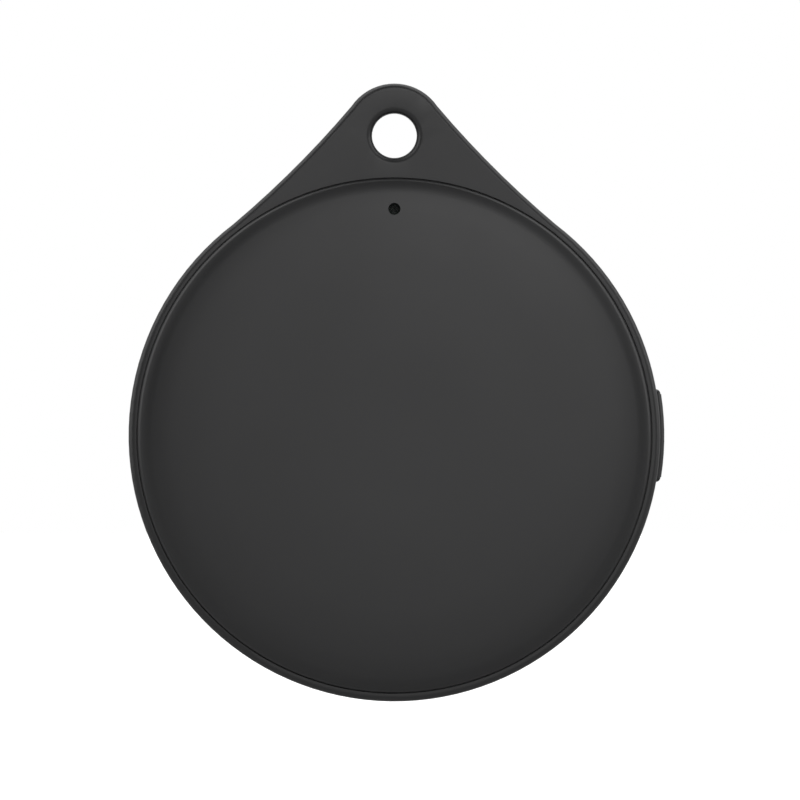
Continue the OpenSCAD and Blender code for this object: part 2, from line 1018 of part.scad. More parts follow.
module cell_can() {
    color([0.78, 0.78, 0.79])
        upright()
            rotate_extrude()
                difference() {
                    translate([0, -cell_back_depth])
                        square([cell_radius, cell_back_depth - can_end_depth]);
                    translate([0, -cell_back_depth + cell_wall])
                        square([cell_radius - cell_wall, cell_back_depth - cell_wall - crimp_depth]);
                    translate([0, -crimp_depth - overlap])
                        square([crimp_radius, cell_thickness]);
                    translate([cell_radius, -cell_back_depth])
                        mirror([0, 1])
                            corner_waste(cell_round / 2);
                    translate([cell_radius, -can_end_depth])
                        corner_waste(cell_round);
                }
}

module cell_gasket() {
    lip = 0.05;
    color([0.5, 0.52, 0.54])
        upright() {
            washer(crimp_radius, cap_radius, can_end_depth - lip, crimp_depth + overlap);
            washer(cell_radius - cell_wall, cap_radius, crimp_depth, cell_back_depth - cell_wall);
        }
}

module cell_cap() {
    color([0.8, 0.8, 0.81])
        upright()
            rotate_extrude()
                difference() {
                    translate([0, -cell_back_depth + cell_wall])
                        square([cap_radius, cell_thickness - cell_wall]);
                    translate([0, -cell_back_depth])
                        square([cap_radius - cell_wall, cell_thickness - cell_wall]);
                    translate([cap_radius, -cell_front_depth])
                        corner_waste(cell_round);
                }
}

module cell_core() {
    color([0.2, 0.2, 0.21])
        upright()
            slab(cell_front_depth + cell_wall, cell_back_depth - cell_wall)
                circle(cap_radius - cell_wall);
}

front_frame();
front_panel();
panel_adhesive();
sound_hole_mesh();
rear_case();
case_seal();
battery_door();
door_seal();
side_button();
button_gasket();
main_board();
board_pads();
radio_chip();
driver_chip();
motion_sensor();
crystals();
chip_antenna();
capacitors();
resistors();
inductors();
buzzer_adhesive();
buzzer_plate();
buzzer_ceramic();
buzzer_electrode();
buzzer_springs();
switch_body();
switch_cover();
switch_dome();
switch_plunger();
switch_terminals();
battery_cradle();
positive_contact();
negative_contact();
cell_can();
cell_gasket();
cell_cap();
cell_core();
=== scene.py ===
"""Round tracker tag with a key tab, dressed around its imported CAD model.

The tag hangs upright: X to the right, Z up, and the domed panel faces -Y. Every piece is made in
metres where the CAD model has it, rides on one of its bodies, and takes one of the record's finishes.
"""

import sys
import json
import logging
import math
from collections.abc import Iterable, Sequence
from dataclasses import dataclass
from enum import Enum

import bmesh
import bpy
from bmesh.types import BMesh
from bpy.types import ID, Material, Mesh, Node, NodeSocket, NodeTree, Object, bpy_prop_collection
from mathutils import Matrix, Vector


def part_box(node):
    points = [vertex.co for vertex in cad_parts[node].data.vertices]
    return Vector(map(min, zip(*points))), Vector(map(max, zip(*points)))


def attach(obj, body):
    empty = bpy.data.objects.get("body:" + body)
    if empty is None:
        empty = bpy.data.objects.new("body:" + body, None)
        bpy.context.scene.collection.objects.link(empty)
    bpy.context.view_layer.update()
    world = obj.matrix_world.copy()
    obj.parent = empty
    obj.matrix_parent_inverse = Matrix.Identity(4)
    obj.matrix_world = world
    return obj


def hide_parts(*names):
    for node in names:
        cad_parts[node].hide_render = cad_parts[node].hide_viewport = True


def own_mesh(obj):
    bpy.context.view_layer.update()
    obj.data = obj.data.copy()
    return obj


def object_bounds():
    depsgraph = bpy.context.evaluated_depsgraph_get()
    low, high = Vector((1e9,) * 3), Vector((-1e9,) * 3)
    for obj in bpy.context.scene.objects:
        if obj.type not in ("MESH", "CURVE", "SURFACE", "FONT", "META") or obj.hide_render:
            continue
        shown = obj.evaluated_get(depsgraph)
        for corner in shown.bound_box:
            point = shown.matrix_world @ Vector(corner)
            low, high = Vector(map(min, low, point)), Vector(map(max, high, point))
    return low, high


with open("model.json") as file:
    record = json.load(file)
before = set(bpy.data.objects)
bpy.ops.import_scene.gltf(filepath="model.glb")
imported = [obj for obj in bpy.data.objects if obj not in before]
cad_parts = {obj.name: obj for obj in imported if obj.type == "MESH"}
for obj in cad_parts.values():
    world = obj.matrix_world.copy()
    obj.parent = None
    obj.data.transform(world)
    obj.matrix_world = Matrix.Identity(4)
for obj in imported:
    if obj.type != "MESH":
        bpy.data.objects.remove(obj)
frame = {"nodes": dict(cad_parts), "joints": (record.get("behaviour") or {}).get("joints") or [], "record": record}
CAD_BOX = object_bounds()

LOG = logging.getLogger("tracker_tag")
MM = 0.001
UP = Vector((0.0, 1.0, 0.0))
WHITE = (1.0, 1.0, 1.0, 1.0)

Colour = tuple[float, float, float]
Spot = tuple[Vector, float, Vector]


class Body(Enum):
    """The bodies of the CAD model that pieces ride on."""

    CASE = "case"
    SEAL = "seal"
    DOOR = "door"
    BUTTON = "button"
    PLUNGER = "plunger"


class Direction(Enum):
    """The way that rolled or drawn metal was worked."""

    ALONG_X = (1.0, 30.0, 30.0)
    ALONG_Z = (30.0, 30.0, 1.0)


def placed(name: str, data: ID) -> Object:
    """Makes an object at the origin and links it to the scene.

    Args:
        name: The object's name.
        data: Its mesh, light or camera.

    Returns:
        The object.
    """
    made = bpy.data.objects.new(name, data)
    bpy.context.scene.collection.objects.link(made)
    return made


# ---- Node trees ----


class Tree:
    """A node tree with short ways to add and join its nodes."""

    def __init__(self, tree: NodeTree) -> None:
        """Keeps the shader or geometry tree that nodes are added to."""
        self.tree = tree

    @classmethod
    def group(cls, name: str, kind: str, inputs: dict[str, object], outputs: dict[str, str]) -> tuple:
        """Makes an empty node group.

        Args:
            name: The group's name.
            kind: Shader or Geometry.
            inputs: The inputs' names, and for each its socket type or its usual number or triple.
            outputs: The outputs' names and socket types.

        Returns:
            The tree, its input sockets by name and its output sockets by name.
        """
        tree = cls(bpy.data.node_groups.new(name, kind + "NodeTree"))
        for side, sockets in (("OUTPUT", outputs), ("INPUT", inputs)):
            for label, usual in sockets.items():
                named = isinstance(usual, str)
                sort = usual if named else "Vector" if isinstance(usual, tuple) else "Float"
                socket = tree.tree.interface.new_socket(label, in_out=side, socket_type="NodeSocket" + sort)
                if not named:
                    socket.default_value = usual
        return tree, tree.add("NodeGroupInput").outputs, tree.add("NodeGroupOutput").inputs

    @classmethod
    def material(cls, name: str) -> tuple[Material, "Tree", Node]:
        """Makes a material, and gives it with its tree and its Principled BSDF."""
        material = bpy.data.materials.new(name)
        material.use_nodes = True
        shader = next(node for node in material.node_tree.nodes if node.type == "BSDF_PRINCIPLED")
        return material, cls(material.node_tree), shader

    def add(self, kind: str, *values: object, **named: object) -> Node:
        """Adds a node and feeds it.

        Args:
            kind: The node's type name.
            *values: What its first inputs take, sockets or plain values.
            **named: Its settings in lower case, and inputs by capitalised name with underscores for spaces.

        Returns:
            The new node.
        """
        node = self.tree.nodes.new(kind)
        for name, value in named.items():
            if name.islower():
                setattr(node, name, value)
        for socket, value in zip(node.inputs, values):
            self.join(value, socket)
        for name, value in named.items():
            if not name.islower():
                self.join(value, node.inputs[name.replace("_", " ")])
        return node

    def out(self, kind: str, *values: object, **named: object) -> NodeSocket:
        """Adds a node as add does, and gives its first output."""
        return self.add(kind, *values, **named).outputs[0]

    def join(self, source: object, target: NodeSocket) -> None:
        """Links a socket to an input, or sets the input where a plain value is given.

        Args:
            source: An output socket or a plain value.
            target: The input socket.
        """
        if isinstance(source, NodeSocket):
            self.tree.links.new(source, target)
        else:
            target.default_value = source

    def maths(self, operation: str, first: object, second: object = 0.0) -> NodeSocket:
        """A Math node's result, from sockets or numbers."""
        return self.out("ShaderNodeMath", first, second, operation=operation)

    def times(self, first: object, second: object) -> NodeSocket:
        """The product of two sockets or numbers."""
        return self.maths("MULTIPLY", first, second)

    def vectors(self, operation: str, first: object, second: object) -> NodeSocket:
        """A Vector Math node's vector, from sockets or triples."""
        return self.out("ShaderNodeVectorMath", first, second, operation=operation)

    def vector(self, **parts: object) -> NodeSocket:
        """A vector with the given X, Y and Z, the others 0."""
        return self.out("ShaderNodeCombineXYZ", **parts)

    def coordinates(self, kind: str = "Object") -> NodeSocket:
        """The texture coordinates of one kind."""
        return self.add("ShaderNodeTexCoord").outputs[kind]

    def noise(self, where: object, size: object, detail: float = 2.0) -> NodeSocket:
        """A Noise Texture's value, about 0.5, by its coordinates, scale and number of finer layers."""
        return self.out("ShaderNodeTexNoise", Detail=detail, Vector=where, Scale=size)

    def cells(self, where: object, size: object) -> NodeSocket:
        """The distance to the nearest cell's middle in a Voronoi Texture."""
        return self.add("ShaderNodeTexVoronoi", Vector=where, Scale=size).outputs["Distance"]

    def span(
        self, value: object, low: float, high: float, start: float = 0.0, end: float = 1.0,
    ) -> NodeSocket:
        """Maps a value from low and high to start and end, and keeps it between them."""
        limits = {"From_Min": low, "From_Max": high, "To_Min": start, "To_Max": end}
        return self.out("ShaderNodeMapRange", Value=value, **limits)

    def blend(self, tone: object, first: Colour, second: Colour) -> NodeSocket:
        """Mixes two colours by a noisy tone.

        Args:
            tone: A value about 0.5.
            first: The colour at low tones.
            second: The colour at high tones.

        Returns:
            The mixed colour's socket.
        """
        mix = self.add("ShaderNodeMix", data_type="RGBA", Factor=self.span(tone, 0.3, 0.7))
        for index, colour in ((6, first), (7, second)):
            mix.inputs[index].default_value = (*colour, 1.0)
        return mix.outputs[2]


class SharedGroups:
    """The surface effects that several finishes use, each built once as a shader node group."""

    def __init__(self) -> None:
        """Builds every group."""
        self.grain = self._grain()
        self.handling = self._handling()
        self.drawn = self._drawn()
        self.fired = self._fired()
        self.dust = self._dust()

    @staticmethod
    def _start(name: str, outputs: Sequence[str], **inputs: float | Colour) -> tuple:
        """Makes an empty group, and gives its tree, sockets and Object coordinates."""
        tree, given, result = Tree.group(name, "Shader", inputs, dict.fromkeys(outputs, "Float"))
        return tree, given, result, tree.coordinates()

    def _grain(self) -> NodeTree:
        """Moulded grain: the fine relief that a textured mould leaves, and a slow drift of tone."""
        tree, given, result, where = self._start(
            "moulded_grain", ("Height", "Tone"), Cells=16000.0, Drift=90.0
        )
        fine = tree.noise(where, given["Cells"], 1.0)
        coarse = tree.noise(where, tree.times(given["Cells"], 0.31))
        tree.join(tree.maths("ADD", tree.times(fine, 0.6), tree.times(coarse, 0.4)), result["Height"])
        tree.join(tree.noise(where, given["Drift"], 3.0), result["Tone"])
        return tree.tree

    def _handling(self) -> NodeTree:
        """Handling: faint wiped smears and hairline rubs that only the gloss shows."""
        tree, given, result, where = self._start("handling_smears", ("Mask",), Smears=60.0, Rubs=900.0)
        smear = tree.span(tree.noise(where, given["Smears"], 4.0), 0.42, 0.68)
        stretched = tree.vectors("MULTIPLY", where, (1.0, 0.2, 0.12))
        rub = tree.span(tree.noise(stretched, given["Rubs"]), 0.62, 0.72)
        tree.join(tree.maths("MAXIMUM", smear, tree.times(rub, 0.5)), result["Mask"])
        return tree.tree

    def _drawn(self) -> NodeTree:
        """Drawn metal: long fine lines where the coordinates are stretched by the finish."""
        tree, given, result, where = self._start(
            "drawn_lines", ("Height", "Streak"), Stretch=Direction.ALONG_X.value, Lines=900.0
        )
        stretched = tree.vectors("MULTIPLY", where, given["Stretch"])
        tree.join(tree.noise(stretched, given["Lines"], 3.0), result["Height"])
        tree.join(tree.noise(stretched, tree.times(given["Lines"], 0.2)), result["Streak"])
        return tree.tree

    def _fired(self) -> NodeTree:
        """Fired body: the grains and pores of a ceramic or pressed powder."""
        tree, given, result, where = self._start("fired_grains", ("Height", "Speck"), Grains=9000.0)
        tree.join(tree.cells(where, given["Grains"]), result["Height"])
        speckle = tree.noise(where, tree.times(given["Grains"], 0.5), 1.0)
        tree.join(tree.span(speckle, 0.58, 0.7), result["Speck"])
        return tree.tree

    def _dust(self) -> NodeTree:
        """Dust: a few pale motes that settle on glue and rubber."""
        tree, given, result, where = self._start("settled_dust", ("Mask",), Motes=2600.0)
        tree.join(tree.span(tree.cells(where, given["Motes"]), 0.06, 0.12, 1.0, 0.0), result["Mask"])
        return tree.tree


# ---- Finishes ----


@dataclass(frozen=True)
class Finish:
    """What every finish has: the record's slot, a colour, a second tint and a roughness."""

    slot: str
    colour: Colour
    tint: Colour
    roughness: float
    roughness_spread: float = 0.05

    def make(self, groups: SharedGroups) -> Material:
        """Makes the material, named after its slot.

        Args:
            groups: The shared shader groups.

        Returns:
            The finished material.
        """
        material, tree, shader = Tree.material(self.slot)
        self.dress(tree, shader, groups)
        return material

    def dress(self, tree: Tree, shader: Node, groups: SharedGroups) -> None:
        """Adds the finish's own nodes to a material's tree and its Principled BSDF."""
        raise NotImplementedError

    @staticmethod
    def use(tree: Tree, group: NodeTree, **values: object) -> bpy_prop_collection:
        """Places a shared group with plain values at its inputs, and gives its outputs."""
        return tree.add("ShaderNodeGroup", node_tree=group, **values).outputs

    def shade(self, tree: Tree, shader: Node, tone: object, gloss: object) -> None:
        """Drives the colour by a tone and the roughness by a gloss mask.

        Args:
            tree: The material's tree.
            shader: Its Principled BSDF.
            tone: A value about 0.5 that drifts between the colour and the tint.
            gloss: A value from 0 to 1 that varies the roughness.
        """
        tree.join(tree.blend(tone, self.colour, self.tint), shader.inputs["Base Color"])
        low, high = self.roughness - self.roughness_spread, self.roughness + self.roughness_spread
        tree.join(tree.span(gloss, 0.0, 1.0, low, high), shader.inputs["Roughness"])

    @staticmethod
    def emboss(tree: Tree, shader: Node, height: object, depth: float, strength: float) -> None:
        """Turns a height into a bump of a depth in metres and a strength up to 1."""
        bump = tree.out("ShaderNodeBump", Strength=strength, Distance=depth, Height=height)
        tree.join(bump, shader.inputs["Normal"])


@dataclass(frozen=True)
class MouldedPlastic(Finish):
    """Injection-moulded plastic with a spark-eroded grain."""

    cells: float = 16000.0
    relief: float = 0.000002
    strength: float = 0.3
    coat: float = 0.0
    coat_roughness: float = 0.12

    def dress(self, tree: Tree, shader: Node, groups: SharedGroups) -> None:
        """Adds grain, a slow drift of tone and the smears of handling."""
        grain = self.use(tree, groups.grain, Cells=self.cells)
        self.shade(tree, shader, grain["Tone"], self.use(tree, groups.handling)["Mask"])
        self.emboss(tree, shader, grain["Height"], self.relief, self.strength)
        shader.inputs["Coat Weight"].default_value = self.coat
        shader.inputs["Coat Roughness"].default_value = self.coat_roughness


@dataclass(frozen=True)
class WorkedMetal(Finish):
    """Rolled, drawn or stamped metal with lines along one direction."""

    direction: Direction = Direction.ALONG_X
    lines: float = 900.0
    relief: float = 0.0000015
    strength: float = 0.35
    smears: float = 220.0

    def dress(self, tree: Tree, shader: Node, groups: SharedGroups) -> None:
        """Adds the lines of the rolling mill and faint handling."""
        drawn = self.use(tree, groups.drawn, Stretch=self.direction.value, Lines=self.lines)
        self.shade(tree, shader, drawn["Streak"], self.use(tree, groups.handling, Smears=self.smears)["Mask"])
        self.emboss(tree, shader, drawn["Height"], self.relief, self.strength)
        shader.inputs["Metallic"].default_value = 1.0


@dataclass(frozen=True)
class FiredCeramic(Finish):
    """Ceramic, ferrite or pressed powder, with grains and dark or pale specks."""

    grains: float = 9000.0
    relief: float = 0.000003
    strength: float = 0.4

    def dress(self, tree: Tree, shader: Node, groups: SharedGroups) -> None:
        """Adds the grains and their specks."""
        fired = self.use(tree, groups.fired, Grains=self.grains)
        self.shade(tree, shader, fired["Speck"], fired["Height"])
        self.emboss(tree, shader, fired["Height"], self.relief, self.strength)


@dataclass(frozen=True)
class SoftRubber(Finish):
    """Rubber, silicone or glue film, dull, with a little dust."""

    cells: float = 9000.0
    drift: float = 300.0
    relief: float = 0.000004
    strength: float = 0.4
    sheen: float = 0.15

    def dress(self, tree: Tree, shader: Node, groups: SharedGroups) -> None:
        """Adds a soft grain, and motes that are paler and rougher."""
        grain = self.use(tree, groups.grain, Cells=self.cells, Drift=self.drift)
        dust = self.use(tree, groups.dust)["Mask"]
        self.shade(tree, shader, tree.maths("MAXIMUM", grain["Tone"], dust), dust)
        self.emboss(tree, shader, grain["Height"], self.relief, self.strength)
        shader.inputs["Sheen Weight"].default_value = self.sheen


@dataclass(frozen=True)
class SolderMask(Finish):
    """Glass-fibre laminate under a lacquer: the fibres' weave shows as a faint relief."""

    weave: float = 2600.0
    cells: float = 3000.0
    drift: float = 400.0
    smears: float = 200.0
    relief: float = 0.000003
    strength: float = 0.25

    def dress(self, tree: Tree, shader: Node, groups: SharedGroups) -> None:
        """Adds the weave of the cloth under the lacquer."""
        where, heights = tree.coordinates(), []
        for turn in (0.0, math.pi / 2):
            turned = tree.out("ShaderNodeMapping", Rotation=(0.0, turn, 0.0), Vector=where)
            wave = tree.add("ShaderNodeTexWave", wave_type="BANDS", bands_direction="X",
                            Scale=self.weave, Vector=turned)
            heights.append(wave.outputs["Fac"])
        tone = self.use(tree, groups.grain, Cells=self.cells, Drift=self.drift)["Tone"]
        self.shade(tree, shader, tone, self.use(tree, groups.handling, Smears=self.smears)["Mask"])
        self.emboss(tree, shader, tree.maths("MAXIMUM", *heights), self.relief, self.strength)


FINISHES: tuple[Finish, ...] = (
    MouldedPlastic("frame_plastic", (0.014, 0.014, 0.0146), (0.012, 0.012, 0.0126), 0.40, 0.015),
    MouldedPlastic("panel_plastic", (0.013, 0.013, 0.0136), (0.0112, 0.0112, 0.0118), 0.40, 0.015),
    MouldedPlastic("rear_plastic", (0.018, 0.018, 0.019), (0.014, 0.014, 0.015), 0.50, 0.05,
                   cells=7000.0, relief=0.000012, strength=0.55),
    MouldedPlastic("button_plastic", (0.013, 0.013, 0.0136), (0.011, 0.011, 0.0116), 0.42, 0.03),
    MouldedPlastic("chip_epoxy", (0.022, 0.022, 0.024), (0.034, 0.033, 0.034), 0.55, 0.08,
                   cells=11000.0, relief=0.000005, strength=0.5),
    MouldedPlastic("switch_plastic", (0.018, 0.018, 0.019), (0.028, 0.028, 0.028), 0.45, 0.06),
    MouldedPlastic("plunger_plastic", (0.70, 0.68, 0.61), (0.62, 0.59, 0.52), 0.42, 0.06),
    MouldedPlastic("cradle_plastic", (0.050, 0.050, 0.053), (0.040, 0.040, 0.043), 0.5, 0.06,
                   cells=9000.0, relief=0.000005, strength=0.4),
    MouldedPlastic("cell_nylon", (0.24, 0.26, 0.28), (0.32, 0.34, 0.36), 0.38, 0.06),
    MouldedPlastic("resistor_glaze", (0.016, 0.016, 0.018), (0.024, 0.024, 0.026), 0.22, 0.06,
                   cells=7000.0, coat=0.5),
    SoftRubber("black_silicone", (0.016, 0.016, 0.016), (0.032, 0.032, 0.032), 0.62, 0.1),
    SoftRubber("glue_film", (0.10, 0.10, 0.105), (0.16, 0.16, 0.165), 0.7, 0.12, sheen=0.05),
    SoftRubber("seal_rubber", (0.26, 0.032, 0.024), (0.34, 0.05, 0.038), 0.5, 0.1),
    # mesh_cloth: the dust screen's own black cloth, made darker still, near-black, as painted shade for the inside
    # of the sound hole
    SoftRubber("mesh_cloth", (0.006, 0.006, 0.006), (0.012, 0.012, 0.012), 0.7, 0.1, sheen=0.0),
    SolderMask("board_laminate", (0.006, 0.060, 0.028), (0.010, 0.085, 0.040), 0.28, 0.06),
    WorkedMetal("gold_plate", (0.83, 0.60, 0.24), (0.76, 0.54, 0.22), 0.26, 0.07, lines=1600.0),
    WorkedMetal("crystal_can", (0.66, 0.66, 0.68), (0.74, 0.74, 0.75), 0.24, 0.08, lines=1500.0),
    WorkedMetal("buzzer_brass", (0.72, 0.52, 0.20), (0.80, 0.61, 0.27), 0.30, 0.08),
    WorkedMetal("silver_film", (0.70, 0.70, 0.69), (0.79, 0.79, 0.78), 0.34, 0.08, lines=2200.0),
    WorkedMetal("spring_steel", (0.52, 0.52, 0.52), (0.62, 0.62, 0.61), 0.32, 0.08, Direction.ALONG_Z),
    WorkedMetal("cell_steel", (0.56, 0.56, 0.57), (0.64, 0.64, 0.64), 0.27, 0.08, Direction.ALONG_Z, 700.0),
    FiredCeramic("antenna_ceramic", (0.78, 0.78, 0.75), (0.62, 0.62, 0.60), 0.3, 0.08, 6000.0),
    FiredCeramic("capacitor_ceramic", (0.40, 0.27, 0.15), (0.30, 0.19, 0.10), 0.45, 0.08),
    FiredCeramic("inductor_ferrite", (0.085, 0.08, 0.078), (0.15, 0.14, 0.14), 0.6, 0.1),
    FiredCeramic("piezo_ceramic", (0.76, 0.73, 0.63), (0.66, 0.62, 0.52), 0.6, 0.08, 7000.0),
    FiredCeramic("cell_filling", (0.11, 0.11, 0.12), (0.20, 0.20, 0.20), 0.6, 0.1, 5000.0),
)


# ---- Meshes ----


@dataclass(frozen=True)
class Layout:
    """Where the round case stands: its axis runs along Y, and depths count back from its face."""

    centre_z: float
    front_y: float
    board_y: float

    @classmethod
    def from_frame(cls) -> "Layout":
        """Reads the case's axis from the door's joint, and the faces from the CAD nodes."""
        turn = next(joint for joint in frame["joints"] if joint["name"] == "door_turn")
        return cls(turn["pos_m"][2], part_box("front_frame")[0].y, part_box("main_board")[1].y)

    def point(self, radius: float, angle: float, y: float) -> Vector:
        """A point about the case's axis, its radius in metres and its angle in degrees from +X to +Z."""
        turned = math.radians(angle)
        return Vector((radius * math.cos(turned), y, self.centre_z + radius * math.sin(turned)))


@dataclass(frozen=True)
class Seat:
    """Where a soldered part sits on the board: its foot, its long and short directions and its size."""

    foot: Vector
    along: Vector
    across: Vector
    size: Vector

    @property
    def turn(self) -> float:
        """The part's turn about Y that brings +X to its long direction, in radians."""
        return math.atan2(-self.along.z, self.along.x)

    def shifted(self, along: float, across: float = 0.0, up: float = 0.0) -> Vector:
        """A point beside the foot, by distances along the seat's own directions in metres."""
        return self.foot + self.along * along + self.across * across + UP * up


class Meshes:
    """Ways to make, copy and settle the meshes of pieces."""

    MERGE = 0.0000002
    LEVEL = 0.01 * MM

    @staticmethod
    def merged(node: str) -> BMesh:
        """A copy of a CAD node's mesh with its loose triangles joined, its faces outwards as they were.

        Args:
            node: The CAD node's name.

        Returns:
            The copy.
        """
        copy = bmesh.new()
        copy.from_mesh(frame["nodes"][node].data)
        bmesh.ops.remove_doubles(copy, verts=copy.verts, dist=Meshes.MERGE)
        return copy

    @staticmethod
    def seats(node: str, surface_y: float) -> list[Seat]:
        """Finds the boxes of a CAD node that stand on the board, always in the same order.

        Args:
            node: The CAD node's name.
            surface_y: The board surface's place along Y.

        Returns:
            One seat for each box.
        """
        copy = Meshes.merged(node)
        left, found = dict.fromkeys(copy.verts), []
        while left:
            stack, island = [left.popitem()[0]], []
            while stack:
                vert = stack.pop()
                island.append(vert)
                near = [edge.other_vert(vert) for edge in vert.link_edges]
                fresh = [other for other in near if other in left]
                stack.extend(fresh)
                for other in fresh:
                    del left[other]
            flat = [v.co for v in island if abs(v.co.y - surface_y) < Meshes.LEVEL]
            start = min(flat, key=lambda corner: (round(corner.x, 6), corner.z))
            sides = sorted((v - start for v in flat), key=lambda side: (round(side.length, 6), side.x))
            short, long = sides[1], sides[2]
            size = Vector((long.length, short.length, max(v.co.y for v in island) - surface_y))
            foot = sum(flat, Vector()) / len(flat)
            found.append(Seat(foot, long.normalized(), short.normalized(), size))
        copy.free()
        return sorted(found, key=lambda seat: (round(seat.foot.x, 6), seat.foot.z))

    @staticmethod
    def from_bmesh(name: str, made: BMesh) -> Object:
        """Turns a finished bmesh into an object at the origin.

        Args:
            name: The object's name.
            made: The bmesh, which is freed.

        Returns:
            The object.
        """
        mesh = bpy.data.meshes.new(name)
        made.to_mesh(mesh)
        made.free()
        if "custom_normal" in mesh.attributes:
            mesh.attributes.remove(mesh.attributes["custom_normal"])
        return placed(name, mesh)

    @staticmethod
    def lathe(profile: Sequence[tuple[float, float]], layout: Layout, steps: int) -> BMesh:
        """Turns a closed profile round the case's axis.

        Args:
            profile: Radius and Y of each point, in metres, ends on the axis where it is solid there.
            layout: Where the axis is.
            steps: The number of steps in a turn.

        Returns:
            The turned shell, closed, with its faces outwards.
        """
        made = bmesh.new()
        rings = []
        for radius, y in profile:
            count = 1 if radius < Meshes.MERGE else steps
            reach = 0.0 if count == 1 else radius
            spots = [layout.point(reach, 360.0 * step / steps, y) for step in range(count)]
            rings.append([made.verts.new(spot) for spot in spots])
        pairs = list(zip(rings, rings[1:]))
        if len(rings[0]) > 1:
            pairs.append((rings[-1], rings[0]))
        for first, second in pairs:
            for step in range(steps):
                ahead = (step + 1) % steps
                corners = (first[step % len(first)], first[ahead % len(first)],
                           second[ahead % len(second)], second[step % len(second)])
                unique = list(dict.fromkeys(corners))
                if len(unique) > 2:
                    made.faces.new(unique)
        bmesh.ops.recalc_face_normals(made, faces=made.faces)
        return made

    @staticmethod
    def block(made: BMesh, seat: Seat, low: Vector, high: Vector, bevel: float) -> None:
        """Adds a block with rounded edges, placed by a seat's directions.

        Args:
            made: The mesh that it is added to.
            seat: Its directions and foot.
            low: Its lowest corner along, across and up, in metres.
            high: Its highest corner, in metres.
            bevel: The rounding of its edges, in metres.
        """
        centre, size = (low + high) / 2, high - low
        turned = Matrix((seat.along, seat.across, UP)).transposed().to_4x4()
        place = Matrix.Translation(seat.shifted(*centre)) @ turned @ Matrix.Diagonal((*size, 1.0))
        verts = bmesh.ops.create_cube(made, size=1.0, matrix=place)["verts"]
        faces = list(dict.fromkeys(face for vert in verts for face in vert.link_faces))
        bmesh.ops.recalc_face_normals(made, faces=faces)
        edges = list(dict.fromkeys(edge for vert in verts for edge in vert.link_edges))
        bmesh.ops.bevel(made, geom=edges, offset=bevel, segments=2, affect="EDGES", profile=0.7)

    @staticmethod
    def settle(piece: Object, sharp: float = 30.0, bevel: float = 0.0) -> Object:
        """Rounds sharp edges if asked, and gives even shading with crisp corners.

        Args:
            piece: The object.
            sharp: The angle past which an edge stays a corner, in degrees.
            bevel: The rounding in metres, or 0 for none.

        Returns:
            The same object, its modifiers worked into its mesh.
        """
        piece.data.shade_smooth()
        if bevel:
            rounding = piece.modifiers.new("rounding", "BEVEL")
            rounding.width = bevel
            rounding.segments = 3
            rounding.limit_method = "ANGLE"
            rounding.angle_limit = math.radians(sharp)
            rounding.use_clamp_overlap = True
            rounding.harden_normals = True
        else:
            piece.data.set_sharp_from_angle(angle=math.radians(sharp))
        shading = piece.modifiers.new("shading", "WEIGHTED_NORMAL")
        shading.keep_sharp = True
        shading.weight = 90
        return Meshes.baked(piece)

    @staticmethod
    def baked(piece: Object) -> Object:
        """Replaces an object's mesh by what its modifiers make of it, and removes them.

        Args:
            piece: The object.

        Returns:
            The same object.
        """
        graph = bpy.context.evaluated_depsgraph_get()
        graph.update()
        made = bpy.data.meshes.new_from_object(
            piece.evaluated_get(graph), preserve_all_data_layers=True, depsgraph=graph
        )
        piece.modifiers.clear()
        piece.data = made
        made.name = piece.name
        return piece


# ---- Geometry Nodes ----


